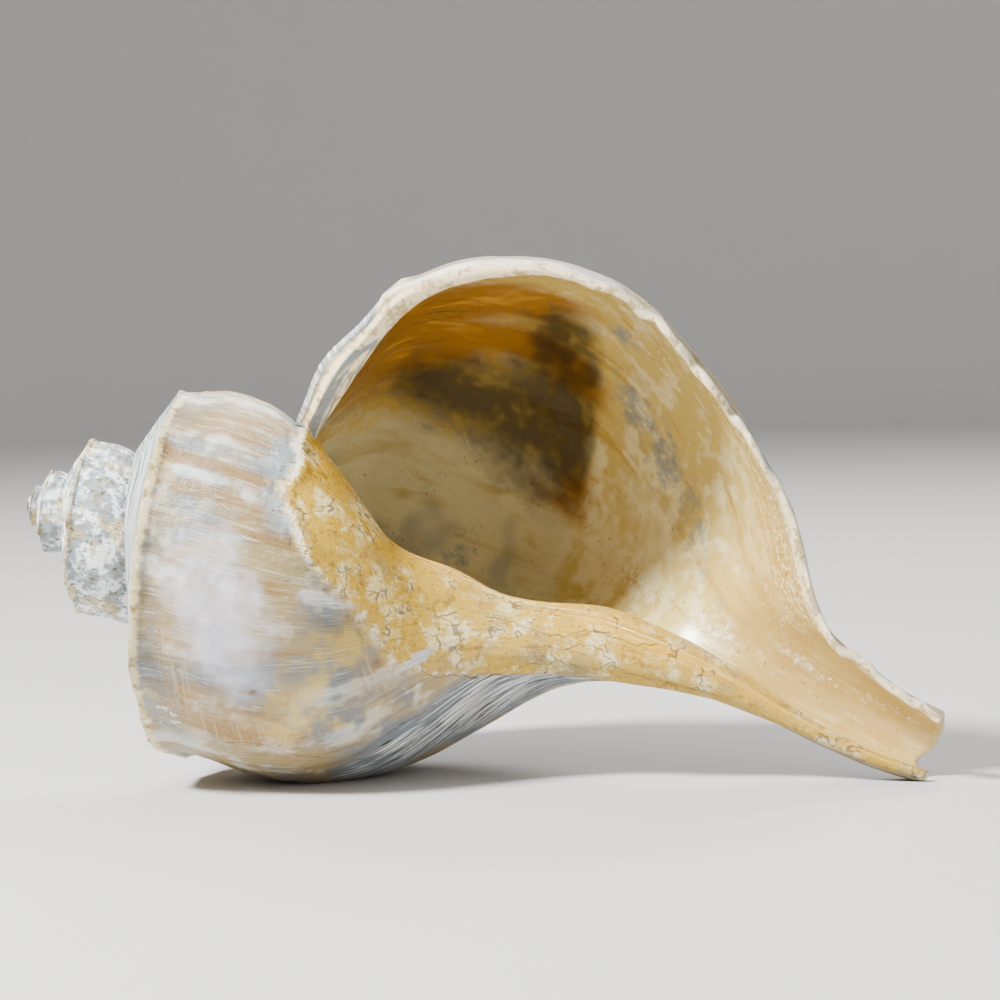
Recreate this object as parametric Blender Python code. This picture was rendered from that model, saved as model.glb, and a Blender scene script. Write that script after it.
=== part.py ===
"""Large whelk shell lying on its belly and on the end of its canal, mouth up and towards -Y.

The shell is one wall wound round an axis that runs from the apex to the end of the canal. Its outside is given by an
outline that grows by a fixed ratio with every turn, and its inside is that outline moved in by the wall's thickness.
"""

import math

import bmesh
import bpy
import numpy as np

NAME = "whelk_shell"
LENGTH = 0.2055
TURNS = 4.4

# growth per turn of the shoulder's radius and of its height along the axis
SHOULDER_RADIUS = 0.0723
SHOULDER_HEIGHT = 0.0715
RADIUS_PER_TURN = 2.10
HEIGHT_PER_TURN = 2.24
HEIGHT_CURL = -0.038

# the seam lies at this share of the shoulder's height, and drifts from turn to turn
SEAM_AT = 0.80
SEAM_DRIFT = 0.07

# (height along the axis, radius) from the shoulder to the canal: a grown whorl, and the flared lip
WHORL_OUTLINE = (
    (0.0715, 0.0723),
    (0.0760, 0.0712),
    (0.0840, 0.0708),
    (0.1000, 0.0716),
    (0.1120, 0.0708),
    (0.1220, 0.0690),
    (0.1330, 0.0648),
    (0.1440, 0.0585),
    (0.1530, 0.0505),
    (0.1620, 0.0405),
    (0.1720, 0.0290),
    (0.1810, 0.0205),
    (0.1970, 0.0130),
    (0.2170, 0.0085),
    (0.2440, 0.0050),
    (0.2910, 0.0022),
    (0.4000, 0.0005),
)
LIP_OUTLINE = (
    (0.0715, 0.0640),
    (0.0743, 0.0662),
    (0.0775, 0.0695),
    (0.0830, 0.0735),
    (0.0940, 0.0780),
    (0.1080, 0.0803),
    (0.1180, 0.0794),
    (0.1270, 0.0764),
    (0.1370, 0.0699),
    (0.1490, 0.0605),
    (0.1585, 0.0515),
    (0.1660, 0.0432),
    (0.1710, 0.0350),
    (0.1755, 0.0265),
    (0.1810, 0.0213),
    (0.1900, 0.0180),
    (0.2055, 0.0134),
    (0.4000, 0.0005),
)
FLARE_TURNS = 0.28

# solid column in the middle, and the open canal that the last half turn wraps round it
COLUMN = (
    (0.000, 0.0004),
    (0.020, 0.0010),
    (0.060, 0.0035),
    (0.095, 0.0046),
    (0.107, 0.0036),
    (0.116, 0.0042),
    (0.133, 0.0070),
    (0.147, 0.0058),
    (0.160, 0.0041),
    (0.172, 0.0026),
    (0.184, 0.0017),
    (0.2055, 0.0011),
)
CANAL = ((0.000, 0.0080), (0.140, 0.0150), (0.172, 0.0170), (0.2055, 0.0132))
CANAL_TURNS = 0.62
BLEND = 5

# sideways bend of the axis at the apex and along the canal, with the azimuth that it bends to
BEND = (
    (0.000, -0.0016),
    (0.012, -0.0005),
    (0.025, 0.0),
    (0.120, 0.0),
    (0.147, -0.0006),
    (0.160, -0.0020),
    (0.172, -0.0049),
    (0.184, -0.0078),
    (0.196, -0.0098),
    (0.2055, -0.0104),
)

# the shoulder is flattened behind the lip, one turn back
DENT = 0.0085
DENT_TURN = -1.05
DENT_TURNS = 0.07
DENT_HEIGHT = 0.070
DENT_WIDTH = 0.012

WALL = 0.0021
WALL_GROWTH = 0.55
LEAST_WALL = 0.00045

# the lip's edge is thicker along the ramp, where its layers are folded together
FOLD_TURNS = 0.05
FOLD_HEIGHT = 0.010
FOLD_WALL = 1.3
CALLUS = 0.0008
CALLUS_HEAP = 0.0022
DEEP_CALLUS = 0.6

# from where to where the callus rises to its heap, thins out round the whorl and down it, and thickens from inside
CALLUS_EDGE = (0.0, 0.003)
HEAP_EDGE = (0.004, 0.018)
HEAP_HEIGHTS = (0.092, 0.112)
HEAP_AZIMUTHS = (150, 210)
CALLUS_HEIGHTS = (0.120, 0.160)
CALLUS_AZIMUTHS = (235, 295)
INSIDE_AZIMUTHS = (-60, 112)

# (azimuth, height along the axis) of the callus's left edge
CALLUS_LEFT = (
    (112, 0.0570),
    (135, 0.0600),
    (158, 0.0620),
    (173, 0.0682),
    (190, 0.0795),
    (200, 0.0838),
    (215, 0.0885),
    (236, 0.0982),
    (255, 0.1085),
    (272, 0.1200),
    (285, 0.1350),
    (310, 0.1600),
)
KNOBS_PER_TURN = 10
KNOB_RISE = 0.0009
KNOB_WIDTH = 0.005

# azimuths are in degrees about the axis: 0 is away, 90 is up and 180 is towards -Y
PHOTO_LIP_AZIMUTH = 112.0
ROLL = -6.0
PITCH = -14.9
BELLY_SINK = 0.0007

# mesh density
STEPS_PER_TURN = 34
RAMP_STEPS = 3
SIDE_STEPS = 5
FOOT_STEPS = 2
BASE_STEPS = 14
RIM_STEPS = 2
HOLLOW_TURNS = 2.2
HOLLOW_MIDDLE = 0.62
SEARCH_STEPS = 400

# a gap narrower than this shuts the hollow, and one wider than this opens it at its top
SHUT_GAP = 0.0009
OPEN_GAP = 0.00002

SHELL_COLOUR = (0.62, 0.55, 0.44, 1.0)
SHELL_ROUGHNESS = 0.45


def clear_scene():
    for obj in list(bpy.data.objects):
        bpy.data.objects.remove(obj, do_unlink=True)


def smooth_curve(points, x):
    """Monotone cubic curve through the points, level past both ends."""
    knots, values = np.array(points, float).T
    gap = np.diff(knots)
    rise = np.diff(values) / gap
    slope = np.zeros(len(knots))
    slope[0], slope[-1] = rise[0], rise[-1]
    same = rise[:-1] * rise[1:] > 0
    before, after = 2 * gap[1:] + gap[:-1], gap[1:] + 2 * gap[:-1]
    total = (before + after)[same]
    slope[1:-1][same] = total / (before[same] / rise[:-1][same] + after[same] / rise[1:][same])
    x = np.clip(x, knots[0], knots[-1])
    i = np.clip(np.searchsorted(knots, x, side="right") - 1, 0, len(gap) - 1)
    t = (x - knots[i]) / gap[i]
    low = (2 * t**3 - 3 * t**2 + 1) * values[i] + (t**3 - 2 * t**2 + t) * gap[i] * slope[i]
    high = (3 * t**2 - 2 * t**3) * values[i + 1] + (t**3 - t**2) * gap[i] * slope[i + 1]
    return low + high


def ease(x):
    x = np.clip(x, 0, 1)
    return x * x * (3 - 2 * x)


def rise(x, span):
    """Smooth step from 0 at the span's start to 1 at its end."""
    return ease((x - span[0]) / (span[1] - span[0]))


def azimuth_at(turn):
    return PHOTO_LIP_AZIMUTH + ROLL + 360 * turn


def shoulder_radius(turn):
    return SHOULDER_RADIUS * RADIUS_PER_TURN**turn


def shoulder_height(turn):
    return SHOULDER_HEIGHT * HEIGHT_PER_TURN**turn * np.exp(HEIGHT_CURL * turn**2)


def seam_height(turn):
    return (SEAM_AT + SEAM_DRIFT * turn) * shoulder_height(turn)


def side_radius(height, turn):
    """Radius below the shoulder: the grown outline, turning into the flared one near the lip."""
    grown = height / shoulder_height(turn) * SHOULDER_HEIGHT
    share = ease((turn + FLARE_TURNS) / FLARE_TURNS)
    outline = (1 - share) * smooth_curve(WHORL_OUTLINE, grown) + share * smooth_curve(LIP_OUTLINE, grown)
    near_shoulder = np.exp(-(((grown - SHOULDER_HEIGHT) / KNOB_WIDTH) ** 2))
    knob = KNOB_RISE * np.cos(2 * math.pi * KNOBS_PER_TURN * turn) * near_shoulder
    dent = DENT * np.exp(-(((grown - DENT_HEIGHT) / DENT_WIDTH) ** 2) - ((turn - DENT_TURN) / DENT_TURNS) ** 2)
    return (outline + knob - dent) * shoulder_radius(turn) / SHOULDER_RADIUS


def whorl_radius(height, turn):
    """Radius of a whorl: a steep ramp from the seam up to the shoulder, then its side."""
    top, seam = shoulder_height(turn), seam_height(turn)
    foot_radius = side_radius(seam, turn - 1)
    climb = side_radius(top, turn) - foot_radius
    share = np.clip((height - seam) / (top - seam), 0, 1)
    ramp = foot_radius + climb * (share + 0.12 * share * (1 - share))
    return np.where(height < top, ramp, side_radius(np.maximum(height, top), turn))


def canal_share(turn):
    """How far the canal's wall has opened out, from 0 where it leaves the column to 1 at the lip."""
    back = np.clip(-turn, 0, CANAL_TURNS) / CANAL_TURNS
    return 0.5 + 0.5 * np.cos(math.pi * back)


def outside_radius(height, turn):
    whorl = np.maximum(whorl_radius(height, turn), 0.00001)
    column = smooth_curve(COLUMN, height)
    canal = smooth_curve(CANAL, height) * canal_share(turn)
    return (whorl**BLEND + column**BLEND + canal**BLEND) ** (1 / BLEND)


def callus_thickness(height, turn):
    """Glaze over the body whorl in front of the mouth and inside it, where turn is -1 at the lip."""
    azimuth = PHOTO_LIP_AZIMUTH + 360 * (turn + 1)
    inwards = height - smooth_curve(CALLUS_LEFT, azimuth)
    heap = rise(inwards, HEAP_EDGE) * (1 - rise(height, HEAP_HEIGHTS)) * (1 - rise(azimuth, HEAP_AZIMUTHS))
    end = (1 - rise(azimuth, CALLUS_AZIMUTHS)) * (1 - rise(height, CALLUS_HEIGHTS))
    deep = DEEP_CALLUS + (1 - DEEP_CALLUS) * rise(azimuth, INSIDE_AZIMUTHS)
    return (CALLUS + CALLUS_HEAP * heap) * rise(inwards, CALLUS_EDGE) * end * deep


def wall_thickness(height, turn):
    """Thickness of the wall, which was thinner when the shell was small and is folded at the lip's ramp."""
    folded = rise(turn, (-FOLD_TURNS, 0)) * (1 - rise(height - shoulder_height(turn), (0, FOLD_HEIGHT)))
    return np.maximum(WALL * RADIUS_PER_TURN ** (WALL_GROWTH * turn), LEAST_WALL) * (1 + FOLD_WALL * folded)


def place(height, radius, turn):
    """Points in the shell's own frame: x along the axis, z up, with the axis bent at its ends."""
    angle = np.radians(azimuth_at(turn))
    bend = smooth_curve(BEND, height)
    tilt = math.radians(90 + ROLL)
    across = np.cos(angle) * radius + math.cos(tilt) * bend
    up = np.sin(angle) * radius + math.sin(tilt) * bend
    return np.stack([height, across, up], axis=-1)


def strip_heights(turn):
    """Heights of the rows from a whorl's seam over its shoulder to the next seam."""
    low, top, high = seam_height(turn), shoulder_height(turn), seam_height(turn + 1)
    ramp = low + (top - low) * np.linspace(0, 1, RAMP_STEPS + 1)
    side = top + (high - top) * np.linspace(0, 1, SIDE_STEPS + 1)[1:] ** 1.25
    return np.concatenate([ramp, side], axis=-1)


def moved_inwards(height, turn):
    """The outline at these heights, moved in by the wall's thickness square to it."""
    step = 0.00005
    thickness = wall_thickness(height, turn)
    slope = (outside_radius(height + step, turn) - outside_radius(height - step, turn)) / (2 * step)
    length = np.sqrt(1 + slope**2)
    return height + thickness * slope / length, outside_radius(height, turn) - thickness / length


def floor_of_hollow(height, turn):
    """Radius of the hollow's inner side: the turn before, with its glaze."""
    return outside_radius(height, turn - 1) + callus_thickness(height, turn - 1)


class ShellMesh:
    """Vertices and faces of the shell, gathered grid by grid."""

    def __init__(self):
        self.points = []
        self.faces = []

    def add(self, points):
        start = len(self.points)
        self.points.extend(points.reshape(-1, 3))
        return np.arange(start, len(self.points)).reshape(points.shape[:-1])

    def join(self, grid):
        corners = (grid[:-1, :-1], grid[1:, :-1], grid[1:, 1:], grid[:-1, 1:])
        self.faces.extend(np.stack(corners, axis=-1).reshape(-1, 4))

    def fan(self, loop, centre=None):
        """Closes a loop with triangles round its middle, or round the point that is given."""
        if centre is None:
            centre = np.mean([self.points[i] for i in loop], axis=0)
        middle = self.add(centre)
        self.faces.extend([loop[i - 1], loop[i], middle] for i in range(len(loop)))

    def add_outside(self):
        """Helical strip from the apex to the lip, each turn's lower edge welded to the next seam."""
        last = round(TURNS * STEPS_PER_TURN)
        turn = np.arange(-last, 1)[:, None] / STEPS_PER_TURN
        heights = strip_heights(turn)
        glaze = np.where(turn >= -1, callus_thickness(heights, np.maximum(turn, -1)), 0)
        strip = self.add(place(heights, outside_radius(heights, turn) + glaze, turn))
        strip[STEPS_PER_TURN:, 0] = strip[:-STEPS_PER_TURN, -1]
        self.join(strip)
        apex = place(np.zeros(1), np.zeros(1), -TURNS)[0]
        self.fan([*strip[: STEPS_PER_TURN + 1, 0], *strip[0, -2:0:-1]], apex)
        return strip

    def add_hollow(self):
        """Inside of the wall and the column that it winds round, from deep inside out to the lip."""
        deepest = round(HOLLOW_TURNS * STEPS_PER_TURN)
        turn = np.arange(-deepest, 1)[:, None] / STEPS_PER_TURN
        top = shoulder_height(turn)

        # where the ramp's inner face leaves the turn before
        ramp = seam_height(turn) + (top - seam_height(turn)) * np.linspace(0, 0.9, SEARCH_STEPS // 5)
        height, radius = moved_inwards(ramp, turn)
        clear = np.argmax(radius - floor_of_hollow(height, turn) > OPEN_GAP, axis=1)[:, None]
        foot = np.take_along_axis(ramp, clear, axis=1)

        # where the wall closes on the column, or the canal's end where it stays open
        side = top + (LENGTH - top) * np.linspace(0.1, 1, SEARCH_STEPS)
        height, radius = moved_inwards(side, turn)
        shut = radius - floor_of_hollow(height, turn) < SHUT_GAP
        ending = np.where(shut.any(axis=1), side[np.arange(len(side)), np.argmax(shut, axis=1)], LENGTH)
        opened = ~shut.any(axis=1)

        # rows matched to the outside's, so that the rim joins them one to one
        corner = moved_inwards(foot, turn)[0]
        foot_share = (corner[-1, 0] - seam_height(0.0)) / (LENGTH - seam_height(0.0))
        inner_rows = np.linspace(0, 1, BASE_STEPS + 1) ** 1.1
        foot_rows = np.linspace(0, foot_share, FOOT_STEPS + 1)[:-1]
        base_rows = np.concatenate([foot_rows, foot_share + (1 - foot_share) * inner_rows])
        rows = strip_heights(turn)
        rows = (rows - rows[:, :1]) / (rows[:, -1:] - rows[:, :1])
        ending = ending[:, None]
        middle = np.minimum(seam_height(turn + 1), foot + HOLLOW_MIDDLE * (ending - foot))
        upper = foot + (middle - foot) * rows
        lower = middle + (ending - middle) * base_rows[1:]
        height, radius = moved_inwards(np.concatenate([upper, lower], axis=1), turn)
        height[:, -1] = np.where(opened, LENGTH, height[:, -1])

        # the hollow's floor is rounded where the wall has closed on the column
        inner = floor_of_hollow(height, turn)
        gap = np.maximum(radius - inner, 0)
        from_end = np.clip((height[:, -1:] - height) / (2 * wall_thickness(height, turn)), 0, 1)
        rounded = gap * np.sqrt(1 - (1 - from_end) ** 2)
        gap = np.where(opened[:, None], gap, rounded)
        gap[:, 0] = 0
        outer_grid = self.add(place(height, inner + gap, turn))

        column_height = height[:, :1] + (height[:, -1:] - height[:, :1]) * inner_rows
        inner_grid = self.add(place(column_height, floor_of_hollow(column_height, turn), turn))
        inner_grid[:, 0] = outer_grid[:, 0]
        inner_grid[~opened, -1] = outer_grid[~opened, -1]
        self.join(outer_grid)
        self.join(inner_grid)
        self.fan([*outer_grid[0], *inner_grid[0, -2:0:-1]])
        return outer_grid, inner_grid, int(np.argmax(opened)), base_rows

    def add_base(self, strip, inner_grid, base_rows):
        """Last turn's outside from the line of the next seam to the end of the canal."""
        turn = np.arange(-STEPS_PER_TURN, 1)[:, None] / STEPS_PER_TURN
        heights = seam_height(turn + 1) + (LENGTH - seam_height(turn + 1)) * base_rows
        base = self.add(place(heights, outside_radius(heights, turn) + callus_thickness(heights, turn), turn))
        base[:, 0] = strip[-1 - STEPS_PER_TURN :, -1]
        base[0, FOOT_STEPS:] = inner_grid[-1]
        self.join(base)
        return base

    def add_rim(self, strip, base, outer_grid):
        """Rounded edge of the lip, from the outside's last column to the hollow's."""
        outer = np.concatenate([strip[-1], base[-1, 1:]])
        inner = outer_grid[-1]
        outer_points = np.array([self.points[i] for i in outer])
        inner_points = np.array([self.points[i] for i in inner])
        thickness = np.linalg.norm(outer_points - inner_points, axis=1)[:, None]
        angle = math.radians(azimuth_at(0))
        ahead = np.array([0, -math.sin(angle), math.cos(angle)])
        rim = [outer]
        for i in range(1, RIM_STEPS + 1):
            turned = math.pi * i / (RIM_STEPS + 1)
            across = 0.5 - 0.5 * math.cos(turned)
            bulge = 0.45 * math.sin(turned) * thickness * ahead
            row = self.add(outer_points + (inner_points - outer_points) * across + bulge)
            row[0] = base[0, min(i, FOOT_STEPS)]
            rim.append(row)
        rim = np.array([*rim, inner])
        self.join(rim)
        return rim

    def add_canal_end(self, base, outer_grid, inner_grid, first_open, rim):
        """Cut end of the canal: the wall's section, and the end of the column."""
        wall = np.stack([base[first_open - len(inner_grid) :, -1], outer_grid[first_open:, -1]])
        self.join(wall)
        self.faces.append(rim[:, -1])
        closing = [outer_grid[first_open - 1, -1], outer_grid[first_open, -1], inner_grid[first_open, -1]]
        self.faces.append(closing)
        round_column = base[: first_open - len(inner_grid) + 1, -1]
        self.fan([*round_column, outer_grid[first_open, -1], *inner_grid[first_open:-1, -1]])


def shell_mesh():
    """Closed mesh of the whole shell, as (points, faces)."""
    parts = ShellMesh()
    strip = parts.add_outside()
    outer_grid, inner_grid, first_open, base_rows = parts.add_hollow()
    base = parts.add_base(strip, inner_grid, base_rows)
    rim = parts.add_rim(strip, base, outer_grid)
    parts.add_canal_end(base, outer_grid, inner_grid, first_open, rim)
    faces = []
    for face in parts.faces:
        corners = [int(v) for i, v in enumerate(face) if v != face[i - 1]]
        if len(set(corners)) > 2:
            faces.append(corners)
    return np.array(parts.points), faces


def lay_down(points):
    """Turns the axis down towards the canal, stands the shell on z = 0 and centres it."""
    pitch = math.radians(PITCH)
    x = points[:, 0] * math.cos(pitch) - points[:, 2] * math.sin(pitch)
    z = points[:, 0] * math.sin(pitch) + points[:, 2] * math.cos(pitch)
    laid = np.stack([x, points[:, 1], z], axis=1)
    middle = (laid.min(axis=0) + laid.max(axis=0)) / 2
    return laid - [middle[0], middle[1], laid[:, 2].min() + BELLY_SINK]


def shell_material():
    material = bpy.data.materials.new("weathered_shell")
    material.use_nodes = True
    shader = material.node_tree.nodes["Principled BSDF"]
    shader.inputs["Base Color"].default_value = SHELL_COLOUR
    shader.inputs["Roughness"].default_value = SHELL_ROUGHNESS
    shader.inputs["Metallic"].default_value = 0.0
    return material


def build_shell():
    points, faces = shell_mesh()
    mesh = bpy.data.meshes.new(NAME)
    mesh.from_pydata(lay_down(points).tolist(), [], faces)
    bm = bmesh.new()
    bm.from_mesh(mesh)
    loose = [v for v in bm.verts if not v.link_faces]
    bmesh.ops.delete(bm, geom=loose, context="VERTS")
    bmesh.ops.recalc_face_normals(bm, faces=bm.faces)

    # flats worn on the belly and under the canal's end, which it rests on
    everything = [*bm.verts, *bm.edges, *bm.faces]
    cut = bmesh.ops.bisect_plane(
        bm, geom=everything, dist=1e-7, plane_co=(0, 0, 0), plane_no=(0, 0, -1), clear_outer=True
    )
    rims = [item for item in cut["geom_cut"] if isinstance(item, bmesh.types.BMEdge)]
    bmesh.ops.holes_fill(bm, edges=rims, sides=0)
    bmesh.ops.triangulate(bm, faces=bm.faces)
    bmesh.ops.recalc_face_normals(bm, faces=bm.faces)
    bm.to_mesh(mesh)
    bm.free()
    mesh.shade_smooth()
    mesh.materials.append(shell_material())
    bpy.context.scene.collection.objects.link(bpy.data.objects.new(NAME, mesh))


clear_scene()
build_shell()
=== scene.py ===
"""Weathered whelk shell lying on its belly and on the end of its canal, with its mouth up.

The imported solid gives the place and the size. This script winds a finer skin from the same outlines, with
growth ribs, a worn keel, a chipped lip and a ragged glaze. It dresses the skin in three materials of old
shell, which are made of the same layers.
"""

import logging
import math
from dataclasses import dataclass
from enum import Enum

import bpy
import numpy as np
from mathutils import Matrix, Vector


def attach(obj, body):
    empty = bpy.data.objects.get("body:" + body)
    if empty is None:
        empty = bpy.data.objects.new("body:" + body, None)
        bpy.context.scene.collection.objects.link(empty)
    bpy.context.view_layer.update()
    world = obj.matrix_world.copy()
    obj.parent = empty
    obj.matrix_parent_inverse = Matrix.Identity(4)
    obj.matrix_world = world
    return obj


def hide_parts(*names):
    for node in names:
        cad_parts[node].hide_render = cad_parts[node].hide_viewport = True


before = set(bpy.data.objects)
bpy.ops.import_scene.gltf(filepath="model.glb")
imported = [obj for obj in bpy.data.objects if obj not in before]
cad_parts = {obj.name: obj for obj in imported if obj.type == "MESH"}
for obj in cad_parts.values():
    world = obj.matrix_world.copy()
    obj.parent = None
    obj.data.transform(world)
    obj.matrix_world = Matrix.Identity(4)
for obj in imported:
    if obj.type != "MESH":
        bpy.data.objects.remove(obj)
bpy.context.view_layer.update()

Array = np.ndarray
Curve = tuple[tuple[float, float], ...]
Tree = bpy.types.NodeTree
Socket = bpy.types.NodeSocket
Sockets = dict[str, Socket]
Finish = tuple[Socket, Socket]
Piece = bpy.types.Object
log = logging.getLogger("whelk")

# multipliers and mask of a 32-bit hash that scatters the places of a lattice
HASH = (374761393, 668265263, 974634777, 1274126177)
MASK = 0xFFFFFFFF

CRACKS = ("crack_a", "crack_b", "crack_c", "crack_d")

# what each corner of the skin carries for the material, as named channels of vector attributes
MARKS = {
    "coil": ("around", "along", "grown"),
    "cover": ("inside", "glaze", "lip"),
    "weather": ("worn", "rust", "ochre"),
    "relics": ("streaks", "fasciole", "chalk"),
    "profile": ("ramp", "keel", "fold"),
    "stains_and_shadow": ("dark_stain_and_shadow", "amber", "blue"),
    "haze": ("frost", "murk", "canal"),
    "lines": ("crack_a", "crack_b", "crack_c"),
    "edges": ("callus_rim", "crack_d", "chip"),
    # dark: the lip's painted shadow deep in the mouth, partly a real dark stain; amber and blue: real stains
    "lining": ("brim", "scratch", "cream"),
    # painted shade in the rib valleys, turned over into painted highlights on the rib crests; the glaze
    # edge's painted shadow; painted shade in the pit
    "shade": ("rib_shade_and_highlight", "callus_edge_shadow", "dent"),
}


def smooth_curve(points: Curve, x: Array) -> Array:
    """Monotone cubic curve through the points, level past both ends.

    Args:
        points: (x, y) of each point, in order.
        x: where to read the curve.

    Returns:
        The curve's y at each x.
    """
    knots, values = np.array(points, float).T
    gap = np.diff(knots)
    rise = np.diff(values) / gap
    slope = np.zeros(len(knots))
    slope[0], slope[-1] = rise[0], rise[-1]
    same = rise[:-1] * rise[1:] > 0
    before, after = 2 * gap[1:] + gap[:-1], gap[1:] + 2 * gap[:-1]
    total = (before + after)[same]
    slope[1:-1][same] = total / (before[same] / rise[:-1][same] + after[same] / rise[1:][same])
    x = np.clip(x, knots[0], knots[-1])
    i = np.clip(np.searchsorted(knots, x, side="right") - 1, 0, len(gap) - 1)
    t = (x - knots[i]) / gap[i]
    low = (2 * t**3 - 3 * t**2 + 1) * values[i] + (t**3 - 2 * t**2 + t) * gap[i] * slope[i]
    high = (3 * t**2 - 2 * t**3) * values[i + 1] + (t**3 - t**2) * gap[i] * slope[i + 1]
    return low + high


def ease(x: Array) -> Array:
    """Smooth step from 0 at 0 to 1 at 1."""
    x = np.clip(x, 0, 1)
    return x * x * (3 - 2 * x)


def bell(x: Array) -> Array:
    """Bell curve, 1 at 0 and small past 2."""
    return np.exp(-x * x)


def fade(x: Array, start: Array | float, width: float) -> Array:
    """Smooth step from 0 at the start to 1 a width further on."""
    return ease((x - start) / width)


def peak(x: Array, middle: Array | float, width: Array | float) -> Array:
    """Bell curve, 1 in the middle and small past two widths."""
    return bell((x - middle) / width)


def grain(x: Array, y: Array, seed: int, octaves: int = 1) -> Array:
    """Smooth noise on a unit lattice, the same on every run.

    Args:
        x: place across the lattice.
        y: place down the lattice.
        seed: picks one of many patterns.
        octaves: how many times a pattern of half the size and half the strength is added.

    Returns:
        Values from -1 to 1.
    """
    x, y = np.broadcast_arrays(x, y)
    total = np.zeros(x.shape)
    for octave in range(octaves):
        column = np.floor(x * 2**octave).astype(np.int64)
        row = np.floor(y * 2**octave).astype(np.int64)
        across = ease(x * 2**octave - column)
        down = ease(y * 2**octave - row)
        corners = []
        for i, j in ((0, 0), (1, 0), (0, 1), (1, 1)):
            mixed = ((column + i) * HASH[0] + (row + j) * HASH[1] + (seed + octave) * HASH[2]) & MASK
            mixed = ((mixed ^ (mixed >> 13)) * HASH[3]) & MASK
            corners.append((mixed ^ (mixed >> 16)) / (MASK // 2) - 1)
        top = corners[0] + (corners[1] - corners[0]) * across
        bottom = corners[2] + (corners[3] - corners[2]) * across
        total += (top + (bottom - top) * down) / 2**octave
    return total / (2 - 2 ** (1 - octaves))


@dataclass(frozen=True)
class Coil:
    """Outline of the shell wound round its axis. Turns are counted back from the lip, which is at 0."""

    length: float = 0.2055
    turns: float = 5.4
    radius: float = 0.0723
    shoulder: float = 0.0715
    radius_growth: float = 2.10
    height_growth: float = 2.24
    height_curl: float = -0.038
    seam_at: float = 0.80
    seam_drift: float = 0.07
    seam_wander: float = 0.0004
    ramp_swell: float = 0.12
    keel_drop: float = 0.0098
    keel_lip_drop: float = 0.0025
    flare_turns: float = 0.28
    canal_turns: float = 0.62
    blend: int = 5
    wall: float = 0.0021
    wall_growth: float = 0.55
    least_wall: float = 0.00045
    callus: float = 0.0008
    callus_heap: float = 0.0022
    knobs_per_turn: int = 10
    knob_rise: float = 0.0009
    knob_width: float = 0.005
    dent: float = 0.0085
    dent_turn: float = -1.05
    dent_turns: float = 0.07
    dent_height: float = 0.070
    dent_width: float = 0.012
    fold_turns: float = 0.05
    fold_height: float = 0.010
    fold_wall: float = 1.3
    lip_azimuth: float = 112.0
    roll: float = -6.0
    pitch: float = -14.9
    apex_at: tuple[float, float, float] = (-0.0996491, -0.0091122, 0.0643245)
    whorl_outline: Curve = (
        (0.0715, 0.0723), (0.0760, 0.0712), (0.0840, 0.0708), (0.1000, 0.0716), (0.1120, 0.0708),
        (0.1220, 0.0690), (0.1330, 0.0648), (0.1440, 0.0585), (0.1530, 0.0505), (0.1620, 0.0405),
        (0.1720, 0.0290), (0.1810, 0.0205), (0.1970, 0.0130), (0.2170, 0.0085), (0.2440, 0.0050),
        (0.2910, 0.0022), (0.4000, 0.0005),
    )
    lip_outline: Curve = (
        (0.0715, 0.0640), (0.0743, 0.0662), (0.0775, 0.0695), (0.0830, 0.0735), (0.0940, 0.0780),
        (0.1080, 0.0803), (0.1180, 0.0794), (0.1270, 0.0764), (0.1370, 0.0699), (0.1490, 0.0605),
        (0.1585, 0.0515), (0.1660, 0.0432), (0.1710, 0.0350), (0.1755, 0.0265), (0.1810, 0.0213),
        (0.1900, 0.0180), (0.2055, 0.0134), (0.4000, 0.0005),
    )
    column: Curve = (
        (0.000, 0.0004), (0.020, 0.0010), (0.060, 0.0035), (0.095, 0.0046), (0.107, 0.0036),
        (0.116, 0.0042), (0.133, 0.0070), (0.147, 0.0058), (0.160, 0.0041), (0.172, 0.0026),
        (0.184, 0.0017), (0.2055, 0.0011),
    )
    canal: Curve = ((0.000, 0.0080), (0.140, 0.0150), (0.172, 0.0170), (0.2055, 0.0132))
    bend: Curve = (
        (0.000, -0.0016), (0.012, -0.0005), (0.025, 0.0), (0.120, 0.0), (0.147, -0.0006),
        (0.160, -0.0020), (0.172, -0.0049), (0.184, -0.0078), (0.196, -0.0098), (0.2055, -0.0104),
    )
    callus_left: Curve = (
        (112, 0.0570), (135, 0.0600), (158, 0.0620), (165, 0.0645), (173, 0.0682), (182, 0.0735),
        (190, 0.0795), (200, 0.0838), (215, 0.0885), (225, 0.0932), (236, 0.0982), (243, 0.1025),
        (255, 0.1085), (263, 0.1140), (272, 0.1200), (285, 0.1350), (310, 0.1600),
    )

    def azimuth(self, turn: Array) -> Array:
        """Degrees about the axis as the photograph shows them: 90 is up and 180 towards the viewer."""
        return self.lip_azimuth + 360 * (turn + 1)

    def size(self, turn: Array) -> Array:
        """Size of a whorl against the last one."""
        return self.radius_growth**turn

    def arc(self, turn: Array) -> Array:
        """Distance along the shoulder from the apex, in metres."""
        return 2 * math.pi * self.radius * self.size(turn) / math.log(self.radius_growth)

    def shoulder_height(self, turn: Array) -> Array:
        """Height along the axis of the shoulder."""
        return self.shoulder * self.height_growth**turn * np.exp(self.height_curl * turn**2)

    def seam_height(self, turn: Array) -> Array:
        """Height along the axis of the seam above a whorl, which wanders a little."""
        wander = self.seam_wander * self.size(turn) * grain(turn * 16, 0, 41, 2) * ease(-turn / 0.03)
        return (self.seam_at + self.seam_drift * turn) * self.shoulder_height(turn) + wander

    def grown(self, height: Array, turn: Array) -> Array:
        """Height that this place would have once grown to the last whorl."""
        return height / self.shoulder_height(turn) * self.shoulder

    def keel_height(self, turn: Array) -> Array:
        """Where the keel runs, as grown to the last whorl: it drops below the dent and towards the lip."""
        below_dent = self.keel_drop * peak(turn, self.dent_turn, self.dent_turns)
        return self.shoulder + below_dent + self.keel_lip_drop * ease(turn / 0.12 + 1)

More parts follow.
